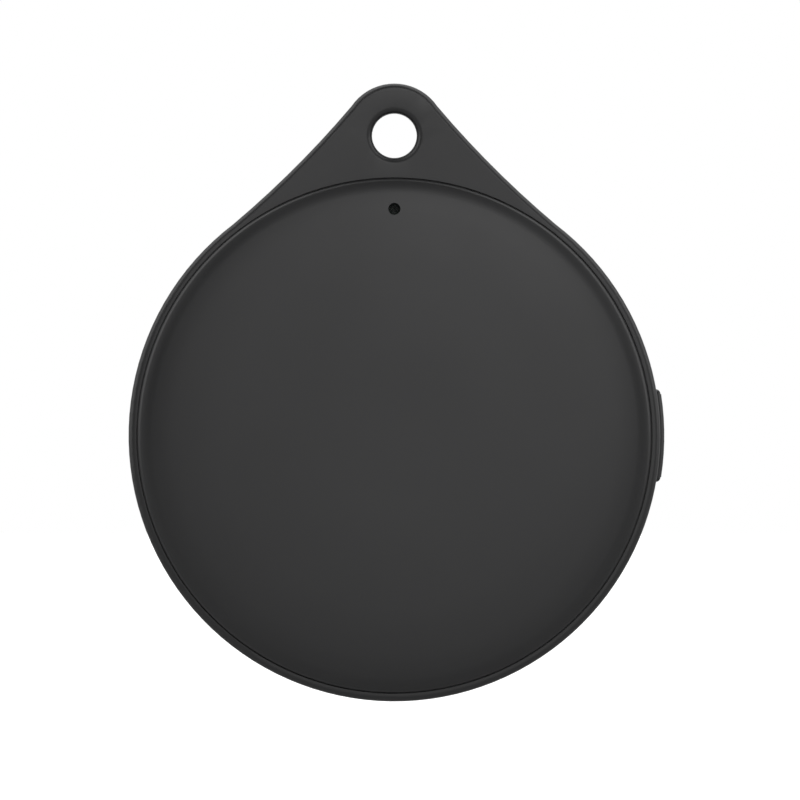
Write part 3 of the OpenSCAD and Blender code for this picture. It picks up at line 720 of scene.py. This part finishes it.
class Repeats:
    """The Geometry Nodes trees that make what repeats or follows a path."""

    WIRES = 18
    POINTS_A_WIRE = 6

    def __init__(self) -> None:
        """Builds every tree."""
        self.scatter = self._scatter()
        self.ring = self._ring()
        self.tracks = self._tracks()
        self.screen = self._screen()

    @staticmethod
    def _start(name: str, **inputs: str) -> tuple:
        """Makes an empty tree with Geometry, the given inputs and Finish, and gives it with its sockets."""
        named = {"Geometry": "Geometry", **inputs, "Finish": "Material"}
        return Tree.group(name, "Geometry", named, {"Geometry": "Geometry"})

    @staticmethod
    def _end(tree: Tree, made: object, given: dict, leave: dict) -> NodeTree:
        """Realizes the instances, sets the finish and joins the output.

        Args:
            tree: The tree.
            made: The geometry's socket.
            given: The tree's input sockets.
            leave: Its output sockets.

        Returns:
            The finished node tree.
        """
        real = tree.out("GeometryNodeRealizeInstances", Geometry=made)
        dressed = tree.out("GeometryNodeSetMaterial", Geometry=real, Material=given["Finish"])
        tree.join(dressed, leave["Geometry"])
        return tree.tree

    @staticmethod
    def _attribute(tree: Tree, name: str, kind: str) -> NodeSocket:
        """A named attribute of the points."""
        return tree.add("GeometryNodeInputNamedAttribute", data_type=kind, Name=name).outputs["Attribute"]

    @staticmethod
    def _part(tree: Tree, given: dict) -> NodeSocket:
        """The geometry of the object at the input Part."""
        return tree.add("GeometryNodeObjectInfo", Object=given["Part"]).outputs["Geometry"]

    def _scatter(self) -> NodeTree:
        """One part on every point, turned about Y and sized by the point's attributes."""
        tree, given, leave = self._start("parts_on_points", Part="Object")
        made = tree.out(
            "GeometryNodeInstanceOnPoints", Points=given["Geometry"], Instance=self._part(tree, given),
            Rotation=tree.vector(Y=self._attribute(tree, "turn", "FLOAT")),
            Scale=self._attribute(tree, "size", "FLOAT_VECTOR"),
        )
        return self._end(tree, made, given, leave)

    def _ring(self) -> NodeTree:
        """Parts round a circle in the XZ plane, from a start angle by a step."""
        tree, given, leave = self._start(
            "parts_in_a_ring", Part="Object", Count="Int", Radius="Float", Start="Float", Step="Float",
            Centre="Vector",
        )
        turned = tree.times(tree.out("GeometryNodeInputIndex"), given["Step"])
        angle = tree.maths("ADD", given["Start"], turned)
        x, z = (tree.times(given["Radius"], tree.maths(ratio, angle)) for ratio in ("COSINE", "SINE"))
        where = tree.vectors("ADD", tree.vector(X=x, Z=z), given["Centre"])
        made = tree.out(
            "GeometryNodeInstanceOnPoints", Instance=self._part(tree, given),
            Points=tree.out("GeometryNodePoints", Count=given["Count"], Position=where),
            Rotation=tree.vector(Y=tree.times(angle, -1.0)),
        )
        return self._end(tree, made, given, leave)

    @staticmethod
    def _swept(tree: Tree, paths: object, thickness: object, sides: int) -> NodeSocket:
        """Closed rods along curves, with a round section of a thickness and a number of sides."""
        radius = tree.times(thickness, 0.5)
        section = tree.out("GeometryNodeCurvePrimitiveCircle", Resolution=sides, Radius=radius)
        return tree.out("GeometryNodeCurveToMesh", Fill_Caps=True, Curve=paths, Profile_Curve=section)

    def _tracks(self) -> NodeTree:
        """Raised tracks along the edges of a wire mesh, rounded at their bends."""
        tree, given, leave = self._start("raised_tracks", Thickness="Float", Bend="Float")
        paths = tree.out("GeometryNodeMeshToCurve", Mesh=given["Geometry"])
        bent = tree.out("GeometryNodeFilletCurve", mode="POLY", Count=4, Curve=paths, Radius=given["Bend"])
        return self._end(tree, self._swept(tree, bent, given["Thickness"], 8), given, leave)

    def _screen(self) -> NodeTree:
        """A round woven screen: wavy wires both ways, cut to a radius, in the XZ plane."""
        tree, given, leave = self._start("woven_screen", Pitch="Float", Wire="Float", Radius="Float")
        both = tree.add("GeometryNodeJoinGeometry")
        for turn, side in ((0.0, 1.0), (math.pi / 2, -1.0)):
            tree.join(self._wires(tree, given, turn, side), both.inputs["Geometry"])
        return self._end(tree, both.outputs[0], given, leave)

    def _wires(self, tree: Tree, given: dict, turn: float, side: float) -> NodeSocket:
        """One way's wires.

        Args:
            tree: The screen's tree.
            given: Its input sockets.
            turn: The turn about Y in radians.
            side: 1 or -1, so that the turned wires go under where the others go over.

        Returns:
            The wires' mesh socket.
        """
        half = tree.times(given["Pitch"], self.WIRES / 2)
        start, end = (tree.vector(X=tree.times(half, sign)) for sign in (-1.0, 1.0))
        line = tree.out("GeometryNodeCurvePrimitiveLine", Start=start, End=end)
        fine = tree.out("GeometryNodeResampleCurve", Count=self.WIRES * self.POINTS_A_WIRE + 1, Curve=line)
        row = tree.out(
            "GeometryNodeMeshLine", Count=self.WIRES + 1,
            Start_Location=tree.vector(Z=tree.times(half, -1.0)), Offset=tree.vector(Z=given["Pitch"]),
        )
        laid = tree.out("GeometryNodeInstanceOnPoints", Points=row, Instance=fine)
        real = tree.out("GeometryNodeRealizeInstances", laid)
        place = tree.add("ShaderNodeSeparateXYZ", tree.out("GeometryNodeInputPosition")).outputs
        waves = [
            tree.maths("COSINE", tree.times(tree.maths("DIVIDE", place[axis], given["Pitch"]), math.pi))
            for axis in ("X", "Z")
        ]
        lift = tree.times(tree.times(tree.times(*waves), given["Wire"]), 0.5 * side)
        waved = tree.out("GeometryNodeSetPosition", Geometry=real, Offset=tree.vector(Y=lift))
        where = tree.out("GeometryNodeInputPosition")
        reach = tree.add("ShaderNodeVectorMath", where, operation="LENGTH").outputs["Value"]
        outside = tree.maths("GREATER_THAN", reach, given["Radius"])
        cut = tree.out("GeometryNodeDeleteGeometry", domain="POINT", Geometry=waved, Selection=outside)
        rods = self._swept(tree, cut, given["Wire"], 6)
        return tree.out("GeometryNodeTransform", Rotation=(0.0, turn, 0.0), Geometry=rods)

    @staticmethod
    def run(name: str, tree: NodeTree, start: Mesh, **inputs: object) -> Object:
        """Runs a tree on a mesh and keeps the result as a plain mesh.

        Args:
            name: The new piece's name.
            tree: The Geometry Nodes tree.
            start: The mesh that it starts from.
            **inputs: Its named inputs.

        Returns:
            The piece, without a modifier.
        """
        piece = placed(name, start)
        modifier = piece.modifiers.new("repeat", "NODES")
        modifier.node_group = tree
        for item in tree.interface.items_tree:
            if item.in_out == "INPUT" and item.name in inputs:
                modifier[item.identifier] = inputs[item.name]
        return Meshes.baked(piece)


# ---- The workshop: finishes, pieces and their bookkeeping ----


class Workshop:
    """Holds the materials and trees, and hands every piece to its body."""

    def __init__(self) -> None:
        """Makes the finishes and the Geometry Nodes trees."""
        groups = SharedGroups()
        self.layout = Layout.from_frame()
        self.repeats = Repeats()
        self.materials = {finish.slot: finish.make(groups) for finish in FINISHES}
        self.slot_of = {part["node"]: part["material_slot"] for part in frame["record"]["subparts"]}

    def dress(self, shown: Object, slot: str) -> None:
        """Gives an object one slot's material and no other."""
        shown.data.materials.clear()
        shown.data.materials.append(self.materials[slot])

    def carry(self, *nodes: str) -> None:
        """Gives CAD nodes that stay as they are their finishes."""
        for node in nodes:
            self.dress(frame["nodes"][node], self.slot_of[node])
            LOG.info("carried %s in %s", node, self.slot_of[node])

    def hand_over(
        self, piece: Object, slot: str, *nodes: str, body: Body = Body.CASE,
    ) -> Object:
        """Dresses a finished piece and hands it to its body.

        Args:
            piece: The piece, at the origin.
            slot: The record's material slot.
            *nodes: The CAD nodes that it stands for.
            body: The body that it rides on.

        Returns:
            The same piece.
        """
        self.dress(piece, slot)
        for face in piece.data.polygons:
            face.material_index = 0
        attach(piece, body.value)
        if nodes:
            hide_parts(*nodes)
        LOG.info("made %s with %d faces", piece.name, len(piece.data.polygons))
        return piece

    def scatter(
        self, name: str, part: Object, spots: Iterable[Spot], slot: str, *nodes: str,
    ) -> Object:
        """Places a part on a list of spots of the case with Geometry Nodes.

        Args:
            name: The new piece's name.
            part: The part, whose mesh stands on the origin. It is removed afterwards.
            spots: Place, turn about Y in radians and size of each.
            slot: The record's material slot.
            *nodes: The CAD nodes that it stands for.

        Returns:
            The piece.
        """
        places, turns, sizes = zip(*spots)
        mesh = bpy.data.meshes.new(name + "_spots")
        mesh.from_pydata([tuple(place) for place in places], [], [])
        mesh.attributes.new("turn", "FLOAT", "POINT").data.foreach_set("value", turns)
        listed = [side for size in sizes for side in size]
        mesh.attributes.new("size", "FLOAT_VECTOR", "POINT").data.foreach_set("vector", listed)
        piece = self.repeats.run(name, self.repeats.scatter, mesh, Part=part, Finish=self.materials[slot])
        bpy.data.objects.remove(part)
        return self.hand_over(piece, slot, *nodes)


@dataclass
class Copied:
    """A piece that keeps its CAD node's shape, with its curves shaded evenly or its corners rounded."""

    piece: str
    node: str
    body: Body = Body.CASE
    bevel: float = 0.0
    sharp: float = 30.0

    def build(self, shop: Workshop) -> Object:
        """Copies, settles and hands over the piece.

        Args:
            shop: The workshop.

        Returns:
            The piece.
        """
        copy = Meshes.merged(self.node)
        if self.bevel:
            bmesh.ops.dissolve_limit(copy, angle_limit=math.radians(1.0), verts=copy.verts, edges=copy.edges)
        piece = Meshes.settle(Meshes.from_bmesh(self.piece, copy), self.sharp, self.bevel)
        return shop.hand_over(piece, shop.slot_of[self.node], self.node, body=self.body)


@dataclass
class Assembly:
    """A sub-assembly: the pieces copied from CAD nodes, and the nodes that are carried as they are."""

    copied: tuple[Copied, ...] = ()
    carried: tuple[str, ...] = ()

    def build(self, shop: Workshop) -> None:
        """Builds the copied pieces and dresses the carried nodes.

        Args:
            shop: The workshop.
        """
        for piece in self.copied:
            piece.build(shop)
        shop.carry(*self.carried)


# ---- The case ----


@dataclass
class FrontPanel:
    """The domed round panel with its sound hole and the woven screen behind it."""

    arcs: tuple[tuple[float, float], ...] = ((5.0, 0.0), (12.5, 2.0), (15.8, 4.5), (17.3, 9.0))
    edge_slope: float = 24.0
    edge_run: float = 0.22
    inner_depth: float = 0.05
    skirt_depth: float = 0.45
    skirt_radius: float = 17.35
    hole_height: float = 16.19
    hole_radius: float = 0.43
    hole_sides: int = 48
    drill_length: float = 4.0
    screen_pitch: float = 0.105
    screen_wire: float = 0.042
    screen_inset: float = 0.03
    steps: int = 288

    def face(self, outer: float, front_y: float) -> list[tuple[float, float]]:
        """The dome's half section, from the axis out to the edge, as arcs that run into each other.

        Args:
            outer: The panel's radius in metres.
            front_y: The place of the dome's foot along Y.

        Returns:
            Radius and Y of each point, in metres.
        """
        knots = [(r * MM, math.radians(slope)) for r, slope in self.arcs]
        knots += [(outer - self.edge_run * MM, math.radians(self.edge_slope)), (outer, math.pi / 2)]
        points, y = [(outer, front_y)], front_y
        for (start, low), (end, high) in reversed(list(zip(knots, knots[1:]))):
            bend = (end - start) / (math.sin(high) - math.sin(low))
            count = 14 if high - low > math.radians(10.0) else 10
            top = y - bend * (math.cos(low) - math.cos(high))
            for step in range(1, count + 1):
                slope = high + (low - high) * step / count
                radius = start + bend * (math.sin(slope) - math.sin(low))
                points.append((radius, top + bend * (math.cos(low) - math.cos(slope))))
            y = top
        middle = points[-1][0]
        points += [(middle * share, y) for share in (0.75, 0.5, 0.25, 0.0)]
        return points[::-1]

    def build(self, shop: Workshop) -> None:
        """Builds the panel and the screen.

        Args:
            shop: The workshop.
        """
        place = shop.layout
        face = self.face(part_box("front_panel")[1].x, place.front_y)
        outer, inward = face[-1][0], self.skirt_radius * MM
        skirt, inner = place.front_y + self.skirt_depth * MM, place.front_y + self.inner_depth * MM
        inside = [(outer, skirt), (inward, skirt), (inward, inner)]
        inside += [(inward * share, inner) for share in (0.66, 0.33, 0.0)]
        panel = Meshes.from_bmesh("domed_panel", Meshes.lathe(face + inside, place, self.steps))
        self.drill(panel, place.point(self.hole_height * MM, 90.0, place.front_y))
        shop.hand_over(Meshes.settle(panel), "panel_plastic", "front_panel")
        self.screen(shop)

    def drill(self, panel: Object, where: Vector) -> None:
        """Cuts the sound hole through the panel.

        Args:
            panel: The panel.
            where: The hole's centre.
        """
        made, radius = bmesh.new(), self.hole_radius * MM
        place = Matrix.Translation(where) @ Matrix.Rotation(math.pi / 2, 4, "X")
        bmesh.ops.create_cone(
            made, cap_ends=True, segments=self.hole_sides, radius1=radius, radius2=radius,
            depth=self.drill_length * MM, matrix=place,
        )
        hole = panel.modifiers.new("hole", "BOOLEAN")
        hole.operation = "DIFFERENCE"
        hole.solver = "EXACT"
        hole.object = Meshes.from_bmesh("drill", made)
        drill = hole.object
        Meshes.baked(panel)
        bpy.data.objects.remove(drill)

    def screen(self, shop: Workshop) -> None:
        """Weaves the dust screen behind the sound hole.

        Args:
            shop: The workshop.
        """
        low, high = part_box("sound_hole_mesh")
        # The screen's near-black finish is partly its own black cloth and partly painted shade for the inside of
        # the sound hole.
        screen = shop.repeats.run(
            "woven_dust_screen", shop.repeats.screen, bpy.data.meshes.new("screen"),
            Pitch=self.screen_pitch * MM, Wire=self.screen_wire * MM,
            Radius=(high.x - low.x) / 2 - self.screen_inset * MM, Finish=shop.materials["mesh_cloth"],
        )
        screen.data.transform(Matrix.Translation((low + high) / 2))
        shop.hand_over(screen, "mesh_cloth", "sound_hole_mesh")


@dataclass
class Housing(Assembly):
    """The frame, the rear case, the films between them, and the button in the side wall."""

    copied: tuple[Copied, ...] = (
        Copied("frame_moulding", "front_frame"),
        Copied("rear_moulding", "rear_case"),
        Copied("button_cap", "side_button", Body.BUTTON),
        Copied("button_sleeve", "button_gasket"),
    )
    carried: tuple[str, ...] = ("panel_adhesive", "case_seal")


@dataclass
class BatteryDoor(Assembly):
    """The twist-off door and the ring that seals it."""

    copied: tuple[Copied, ...] = (
        Copied("door_moulding", "battery_door", Body.DOOR),
        Copied("door_ring", "door_seal", Body.SEAL, sharp=60.0),
    )


# ---- The electronics ----


class Stock:
    """Small parts that Geometry Nodes repeat. Each stands on the origin and is one unit a side."""

    @staticmethod
    def brick(name: str, bevel: float) -> Object:
        """A block of one unit a side with rounded edges, standing on Y = 0.

        Args:
            name: The part's name.
            bevel: The rounding of its edges.

        Returns:
            The part.
        """
        made = bmesh.new()
        place = Seat(Vector(), Vector((1.0, 0.0, 0.0)), Vector((0.0, 0.0, 1.0)), Vector((1.0, 1.0, 1.0)))
        Meshes.block(made, place, Vector((-0.5, -0.5, 0.0)), Vector((0.5, 0.5, 1.0)), bevel)
        bmesh.ops.recalc_face_normals(made, faces=made.faces)
        return Meshes.from_bmesh(name, made)

    @staticmethod
    def fillet(name: str) -> Object:
        """A hollow solder fillet that leans on X = 0 and stands on Y = 0.

        Args:
            name: The part's name.

        Returns:
            The part.
        """
        made = bmesh.new()
        outline = [(0.0, 0.0), (1.0, 0.0), (0.62, 0.12), (0.33, 0.34), (0.12, 0.66), (0.0, 1.0)]
        ends = [[made.verts.new((x, y, side)) for x, y in outline] for side in (-0.5, 0.5)]
        for loop in ends:
            made.faces.new(loop)
        for step in range(len(outline)):
            ahead = (step + 1) % len(outline)
            made.faces.new((ends[0][step], ends[0][ahead], ends[1][ahead], ends[1][step]))
        bmesh.ops.recalc_face_normals(made, faces=made.faces)
        return Meshes.from_bmesh(name, made)

    @staticmethod
    def eyelet(name: str, outer: float, inner: float, height: float) -> Object:
        """A low ring about the origin that stands on Y = 0, by its radii and height in millimetres."""
        outer, inner, height = outer * MM, inner * MM, height * MM
        top = [(outer, height * 0.6), (outer - height * 0.4, height), (inner, height)]
        profile = [(outer, 0.0), *top, (inner, 0.0)]
        return Meshes.from_bmesh(name, Meshes.lathe(profile, Layout(0.0, 0.0, 0.0), 16))


@dataclass
class CircuitBoard(Assembly):
    """The round board with its tracks and vias, and everything that is soldered to it."""

    copied: tuple[Copied, ...] = (Copied("board_laminate_disc", "main_board"),)
    carried: tuple[str, ...] = ("board_pads",)
    small: tuple[str, ...] = ("capacitors", "resistors", "inductors")
    chips: tuple[str, ...] = ("radio_chip", "driver_chip", "motion_sensor")
    body_inset: float = 0.03
    end_share: float = 0.24
    fillet_reach: float = 0.22
    lid_inset: float = 0.12
    base_share: float = 0.4
    stripe_width: float = 0.28
    stripe_count: int = 7
    stripe_proud: float = 0.02
    contact: tuple[float, float, float] = (0.26, 0.07, 0.24)
    contact_pitch: float = 0.5
    contact_proud: float = 0.06
    dot_inset: float = 0.55
    via_radius: float = 16.85
    via_start: float = 307.0
    via_step: float = 6.0
    via_count: int = 58
    track_ring: float = 11.4
    track_gap: float = 0.17
    track_lanes: int = 6
    track_width: float = 0.13
    track_bend: float = 0.25
    joined: tuple[float, ...] = (0.0, 66.0, 118.0, 180.0, 262.0, 310.0)

    def build(self, shop: Workshop) -> None:
        """Builds the board and all its parts.

        Args:
            shop: The workshop.
        """
        super().build(shop)
        seats = {
            node: Meshes.seats(node, shop.layout.board_y)
            for node in (*self.small, "crystals", "chip_antenna", *self.chips)
        }
        for node in self.small:
            self.two_terminal(shop, node, seats[node])
        self.crystals(shop, seats["crystals"])
        self.antenna(shop, seats["chip_antenna"][0])
        self.packages(shop, [seats[chip][0] for chip in self.chips])
        self.vias(shop)
        self.tracks(shop, [seat for node in self.small for seat in seats[node]])

    def two_terminal(self, shop: Workshop, node: str, seats: list[Seat]) -> None:
        """Builds the bodies, the plated ends and the solder of one kind of two-ended part.

        Args:
            shop: The workshop.
            node: The CAD node that they stand for.
            seats: Where the parts sit.
        """
        stem, inset = node.removesuffix("s"), Vector((1.0, 1.0, 1.0)) * self.body_inset * MM
        bodies, ends, fillets = [], [], []
        for seat in seats:
            long, wide, high = seat.size
            length = long * self.end_share
            bodies.append((seat.foot, seat.turn, Vector((long, high, wide)) - inset))
            for side in (-1, 1):
                turn = seat.turn if side > 0 else seat.turn + math.pi
                end = Vector((length, high, wide))
                ends.append((seat.shifted(side * (long - length) / 2), seat.turn, end))
                solder = Vector((self.fillet_reach * MM, high * 0.7, wide * 0.9))
                fillets.append((seat.shifted(side * long / 2), turn, solder))
        shop.scatter(f"{stem}_bodies", Stock.brick("body", 0.05), bodies, shop.slot_of[node], node)
        shop.scatter(f"{stem}_ends", Stock.brick("end", 0.08), ends, "silver_film")
        shop.scatter(f"{stem}_solder", Stock.fillet("fillet"), fillets, "crystal_can")

    def crystals(self, shop: Workshop, seats: list[Seat]) -> None:
        """Builds the crystals' ceramic bases and bright lids.

        Args:
            shop: The workshop.
            seats: Where the crystals sit.
        """
        bases, lids, rim = bmesh.new(), bmesh.new(), self.lid_inset * MM
        for seat in seats:
            (x, y, _), top = seat.size / 2, seat.size.z
            split = top * self.base_share
            Meshes.block(bases, seat, Vector((-x, -y, 0.0)), Vector((x, y, split)), 0.04 * MM)
            low, high = Vector((rim - x, rim - y, split)), Vector((x - rim, y - rim, top))
            Meshes.block(lids, seat, low, high, 0.09 * MM)
        base = Meshes.settle(Meshes.from_bmesh("crystal_bases", bases))
        lid = Meshes.settle(Meshes.from_bmesh("crystal_lids", lids))
        shop.hand_over(base, "antenna_ceramic")
        shop.hand_over(lid, "crystal_can", "crystals")

    def antenna(self, shop: Workshop, seat: Seat) -> None:
        """Builds the antenna's ceramic block and the silver wound round it.

        Args:
            shop: The workshop.
            seat: Where the antenna sits.
        """
        Copied("antenna_block", "chip_antenna", bevel=0.08 * MM).build(shop)
        stripe, proud = self.stripe_width * MM, self.stripe_proud * MM
        size = Vector((stripe, seat.size.z + proud, seat.size.y + proud))
        shares = [index / (self.stripe_count - 1) - 0.5 for index in range(self.stripe_count)]
        spots = [(seat.shifted(share * (seat.size.x - 2 * stripe)), seat.turn, size) for share in shares]
        shop.scatter("antenna_winding", Stock.brick("stripe", 0.03), spots, "silver_film")

    def packages(self, shop: Workshop, seats: list[Seat]) -> None:
        """Builds the chips' bodies, the contacts that show at their feet, and the dots at pin one.

        Args:
            shop: The workshop.
            seats: One seat for each chip, in order.
        """
        for chip in self.chips:
            Copied(f"{chip}_package", chip, bevel=0.05 * MM).build(shop)
        pitch, contact = self.contact_pitch * MM, Vector([side * MM for side in self.contact])
        contacts, dots = [], []
        for seat in seats:
            long, wide, high = seat.size
            for row, reach, turn in ((long, wide, 0.0), (wide, long, math.pi / 2)):
                count = int(row / pitch) - 1
                for index in range(count):
                    place = (index - (count - 1) / 2) * pitch
                    for side in (-1, 1):
                        edge = side * (reach / 2 + self.contact_proud * MM - contact.z / 2)
                        spot = seat.shifted(edge, place) if turn else seat.shifted(place, edge)
                        contacts.append((spot, seat.turn + turn, contact))
            inset = self.dot_inset * MM
            corner = seat.shifted(inset - long / 2, inset - wide / 2, high)
            dots.append((corner, 0.0, Vector((1.0, 1.0, 1.0))))
        shop.scatter("chip_contacts", Stock.brick("contact", 0.06), contacts, "crystal_can")
        shop.scatter("pin_one_dots", Stock.eyelet("dot", 0.16, 0.02, 0.012), dots, "antenna_ceramic")

    def vias(self, shop: Workshop) -> None:
        """Sets a ring of plated holes along the board's edge with Geometry Nodes.

        Args:
            shop: The workshop.
        """
        part = Stock.eyelet("via", 0.15, 0.07, 0.02)
        ring = shop.repeats.run(
            "edge_vias", shop.repeats.ring, bpy.data.meshes.new("ring"), Part=part,
            Count=self.via_count, Radius=self.via_radius * MM, Start=math.radians(self.via_start),
            Step=math.radians(self.via_step), Centre=shop.layout.point(0.0, 0.0, shop.layout.board_y),
            Finish=shop.materials["gold_plate"],
        )
        bpy.data.objects.remove(part)
        shop.hand_over(ring, "gold_plate")

    def tracks(self, shop: Workshop, seats: list[Seat]) -> None:
        """Lays a lacquered track from each small part to the chip nearest to it.

        Args:
            shop: The workshop.
            seats: The small parts' seats.
        """
        layout, verts, edges = shop.layout, [], []
        for index, seat in enumerate(seats):
            across = seat.foot.z - layout.centre_z
            radius = math.hypot(seat.foot.x, across)
            angle = math.degrees(math.atan2(across, seat.foot.x)) % 360
            sweep = min(((end - angle + 180) % 360 - 180 for end in self.joined), key=abs)
            ring = (self.track_ring + self.track_gap * (index % self.track_lanes)) * MM
            steps = max(2, int(abs(sweep) / 3))
            turns = [angle + sweep * step / steps for step in range(steps)]
            path = [layout.point(radius - seat.size.x / 2, angle, layout.board_y)]
            path += [layout.point(ring, turn, layout.board_y) for turn in turns]
            edges += [(len(verts) + step, len(verts) + step + 1) for step in range(steps)]
            verts += [tuple(point) for point in path]
        mesh = bpy.data.meshes.new("paths")
        mesh.from_pydata(verts, edges, [])
        laid = shop.repeats.run(
            "lacquered_tracks", shop.repeats.tracks, mesh, Thickness=self.track_width * MM,
            Bend=self.track_bend * MM, Finish=shop.materials["board_laminate"],
        )
        shop.hand_over(laid, "board_laminate")


@dataclass
class Buzzer(Assembly):
    """The piezo disc behind the panel, with its glue ring and its two contact leaves."""

    copied: tuple[Copied, ...] = (
        Copied("buzzer_disc", "buzzer_plate"),
        Copied("buzzer_crystal", "buzzer_ceramic"),
        Copied("buzzer_film", "buzzer_electrode"),
        Copied("buzzer_leaves", "buzzer_springs", bevel=0.02 * MM),
    )
    carried: tuple[str, ...] = ("buzzer_adhesive",)


@dataclass
class SideSwitch(Assembly):
    """The switch that the button presses: its body, cover, snap dome, plunger and terminals."""

    copied: tuple[Copied, ...] = (
        Copied("switch_case", "switch_body", bevel=0.05 * MM),
        Copied("switch_shield", "switch_cover", bevel=0.03 * MM),
        Copied("switch_feet", "switch_terminals", bevel=0.03 * MM),
        Copied("plunger_block", "switch_plunger", Body.PLUNGER, bevel=0.06 * MM),
    )
    dome_keeps: float = 0.3

    def build(self, shop: Workshop) -> None:
        """Builds the switch, and gives its snap dome a mesh of its own.

        Args:
            shop: The workshop.
        """
        super().build(shop)
        dome = Copied("snap_dome", "switch_dome").build(shop)
        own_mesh(dome)


@dataclass
class BatteryBay(Assembly):
    """The ring that centres the coin cell, and the two contacts that press on it."""

    copied: tuple[Copied, ...] = (
        Copied("cell_ring", "battery_cradle"),
        Copied("side_contact", "positive_contact", bevel=0.03 * MM),
        Copied("finger_contact", "negative_contact", bevel=0.02 * MM),
    )


@dataclass
class CoinCell(Assembly):
    """The coin cell: its can, its gasket, its cap and what fills it."""

    copied: tuple[Copied, ...] = (
        Copied("cell_cup", "cell_can"),
        Copied("cell_grommet", "cell_gasket"),
        Copied("cell_lid", "cell_cap"),
    )
    carried: tuple[str, ...] = ("cell_core",)


# ---- The studio ----


@dataclass(frozen=True)
class SoftLight:
    """A round soft light, placed by the angles in degrees at which the tag sees it."""

    name: str
    right: float
    up: float
    spread: float
    radiance: float
    distance: float = 1.7

    def build(self, aim: Vector) -> None:
        """Makes the light.

        Args:
            aim: The point that it faces.
        """
        right, up = math.radians(self.right), math.radians(self.up)
        away = Vector((math.sin(right) * math.cos(up), -math.cos(right) * math.cos(up), math.sin(up)))
        radius = self.distance * math.tan(math.radians(self.spread))
        data = bpy.data.lights.new(self.name, "AREA")
        data.shape = "DISK"
        data.size = 2 * radius
        data.energy = self.radiance * math.pi * math.pi * radius ** 2
        light = placed(self.name, data)
        light.location = aim + away * self.distance
        light.rotation_euler = away.to_track_quat("Z", "Y").to_euler()
        light.visible_camera = False


@dataclass
class Studio:
    """A pale floor under the tag, a bright backdrop, soft lights and a long-lens camera."""

    view_width: float = 57.15 * MM
    view_x: float = 0.403 * MM
    view_z: float = -18.895 * MM
    camera_distance: float = 1.2
    sensor: float = 36.0
    floor_half: float = 4.0
    floor_drop: float = 0.02
    floor_tones: tuple[Colour, Colour] = ((0.30, 0.30, 0.30), (0.33, 0.33, 0.33))
    floor_mottle: float = 14.0
    floor_glow: float = 0.08
    floor_glow_seen: float = 0.9
    surroundings: tuple[tuple[float, float], ...] = (
        (-1.0, 0.04), (-0.15, 0.06), (0.12, 2.7), (0.5, 1.8), (1.0, 0.7)
    )
    side_share: float = 0.72
    lights: tuple[SoftLight, ...] = (
        SoftLight("key_light", right=5.0, up=14.5, spread=13.0, radiance=3.6),
    )

    def build(self, layout: Layout) -> None:
        """Builds the camera, the floor, the backdrop and the lights.

        Args:
            layout: Where the case is.
        """
        self.camera(layout.front_y)
        self.floor()
        self.world()
        for light in self.lights:
            light.build(layout.point(0.0, 0.0, layout.front_y))
        settings = bpy.context.scene.view_settings
        settings.view_transform = "Standard"
        settings.look = "None"

    def camera(self, front_y: float) -> None:
        """Makes the camera, level and square to the panel.

        Args:
            front_y: The case's front face along Y.
        """
        data = bpy.data.cameras.new("camera")
        data.sensor_width = self.sensor
        data.lens = self.sensor * self.camera_distance / self.view_width
        camera = placed("camera", data)
        camera.location = (self.view_x, front_y - self.camera_distance, self.view_z)
        camera.rotation_euler = (math.pi / 2, 0.0, 0.0)
        bpy.context.scene.camera = camera

    def floor(self) -> None:
        """Makes the pale floor, below the hanging tag."""
        half, z = self.floor_half, CAD_BOX[0].z - self.floor_drop
        corners = [(x * half, y * half, z) for x, y in ((-1, -1), (1, -1), (1, 1), (-1, 1))]
        mesh = bpy.data.meshes.new("floor")
        mesh.from_pydata(corners, [], [(0, 1, 2, 3)])
        material, tree, shader = Tree.material("pale_floor")
        mottle = tree.noise(tree.coordinates(), self.floor_mottle)
        tree.join(tree.blend(mottle, *self.floor_tones), shader.inputs["Base Color"])
        shader.inputs["Roughness"].default_value = 0.9
        shader.inputs["Emission Color"].default_value = WHITE
        seen = tree.add("ShaderNodeLightPath").outputs["Is Camera Ray"]
        glow = tree.span(seen, 0.0, 1.0, self.floor_glow, self.floor_glow_seen)
        tree.join(glow, shader.inputs["Emission Strength"])
        mesh.materials.append(material)
        floor = placed("floor", mesh)

    def world(self) -> None:
        """Makes the surroundings: bright beside and behind the tag, dim in front, white to the camera."""
        world = bpy.data.worlds.new("studio")
        world.use_nodes = True
        bpy.context.scene.world = world
        tree, nodes = Tree(world.node_tree), world.node_tree.nodes
        towards = tree.add("ShaderNodeSeparateXYZ", tree.coordinates("Generated")).outputs
        sideways = tree.times(tree.maths("ABSOLUTE", towards["X"]), self.side_share)
        place = tree.maths("ADD", towards["Y"], sideways)
        ramp = tree.add("ShaderNodeValToRGB", tree.span(place, -1.0, 1.0))
        stops = ramp.color_ramp.elements
        while len(stops) < len(self.surroundings):
            stops.new(0.5)
        brightest = max(level for _, level in self.surroundings)
        for stop, (y, level) in zip(stops, self.surroundings):
            stop.position = (y + 1.0) / 2
            stop.color = (*[level / brightest] * 3, 1.0)
        lit = nodes["Background"]
        lit.inputs["Color"].default_value = WHITE
        tree.join(tree.times(ramp.outputs["Color"], brightest), lit.inputs["Strength"])
        seen = tree.out("ShaderNodeBackground", Color=WHITE)
        is_camera = tree.add("ShaderNodeLightPath").outputs["Is Camera Ray"]
        choose = tree.out("ShaderNodeMixShader", is_camera, lit.outputs[0], seen)
        tree.join(choose, nodes["World Output"].inputs["Surface"])


def main() -> None:
    """Builds the tag's sub-assemblies in order, then the studio round it."""
    logging.basicConfig(level=logging.INFO, format="%(message)s", stream=sys.stdout)
    shop = Workshop()
    assemblies = (
        FrontPanel(), Housing(), BatteryDoor(), CircuitBoard(),
        Buzzer(), SideSwitch(), BatteryBay(), CoinCell(),
    )
    for assembly in assemblies:
        assembly.build(shop)
    Studio().build(shop.layout)


if __name__ == "__main__":
    main()
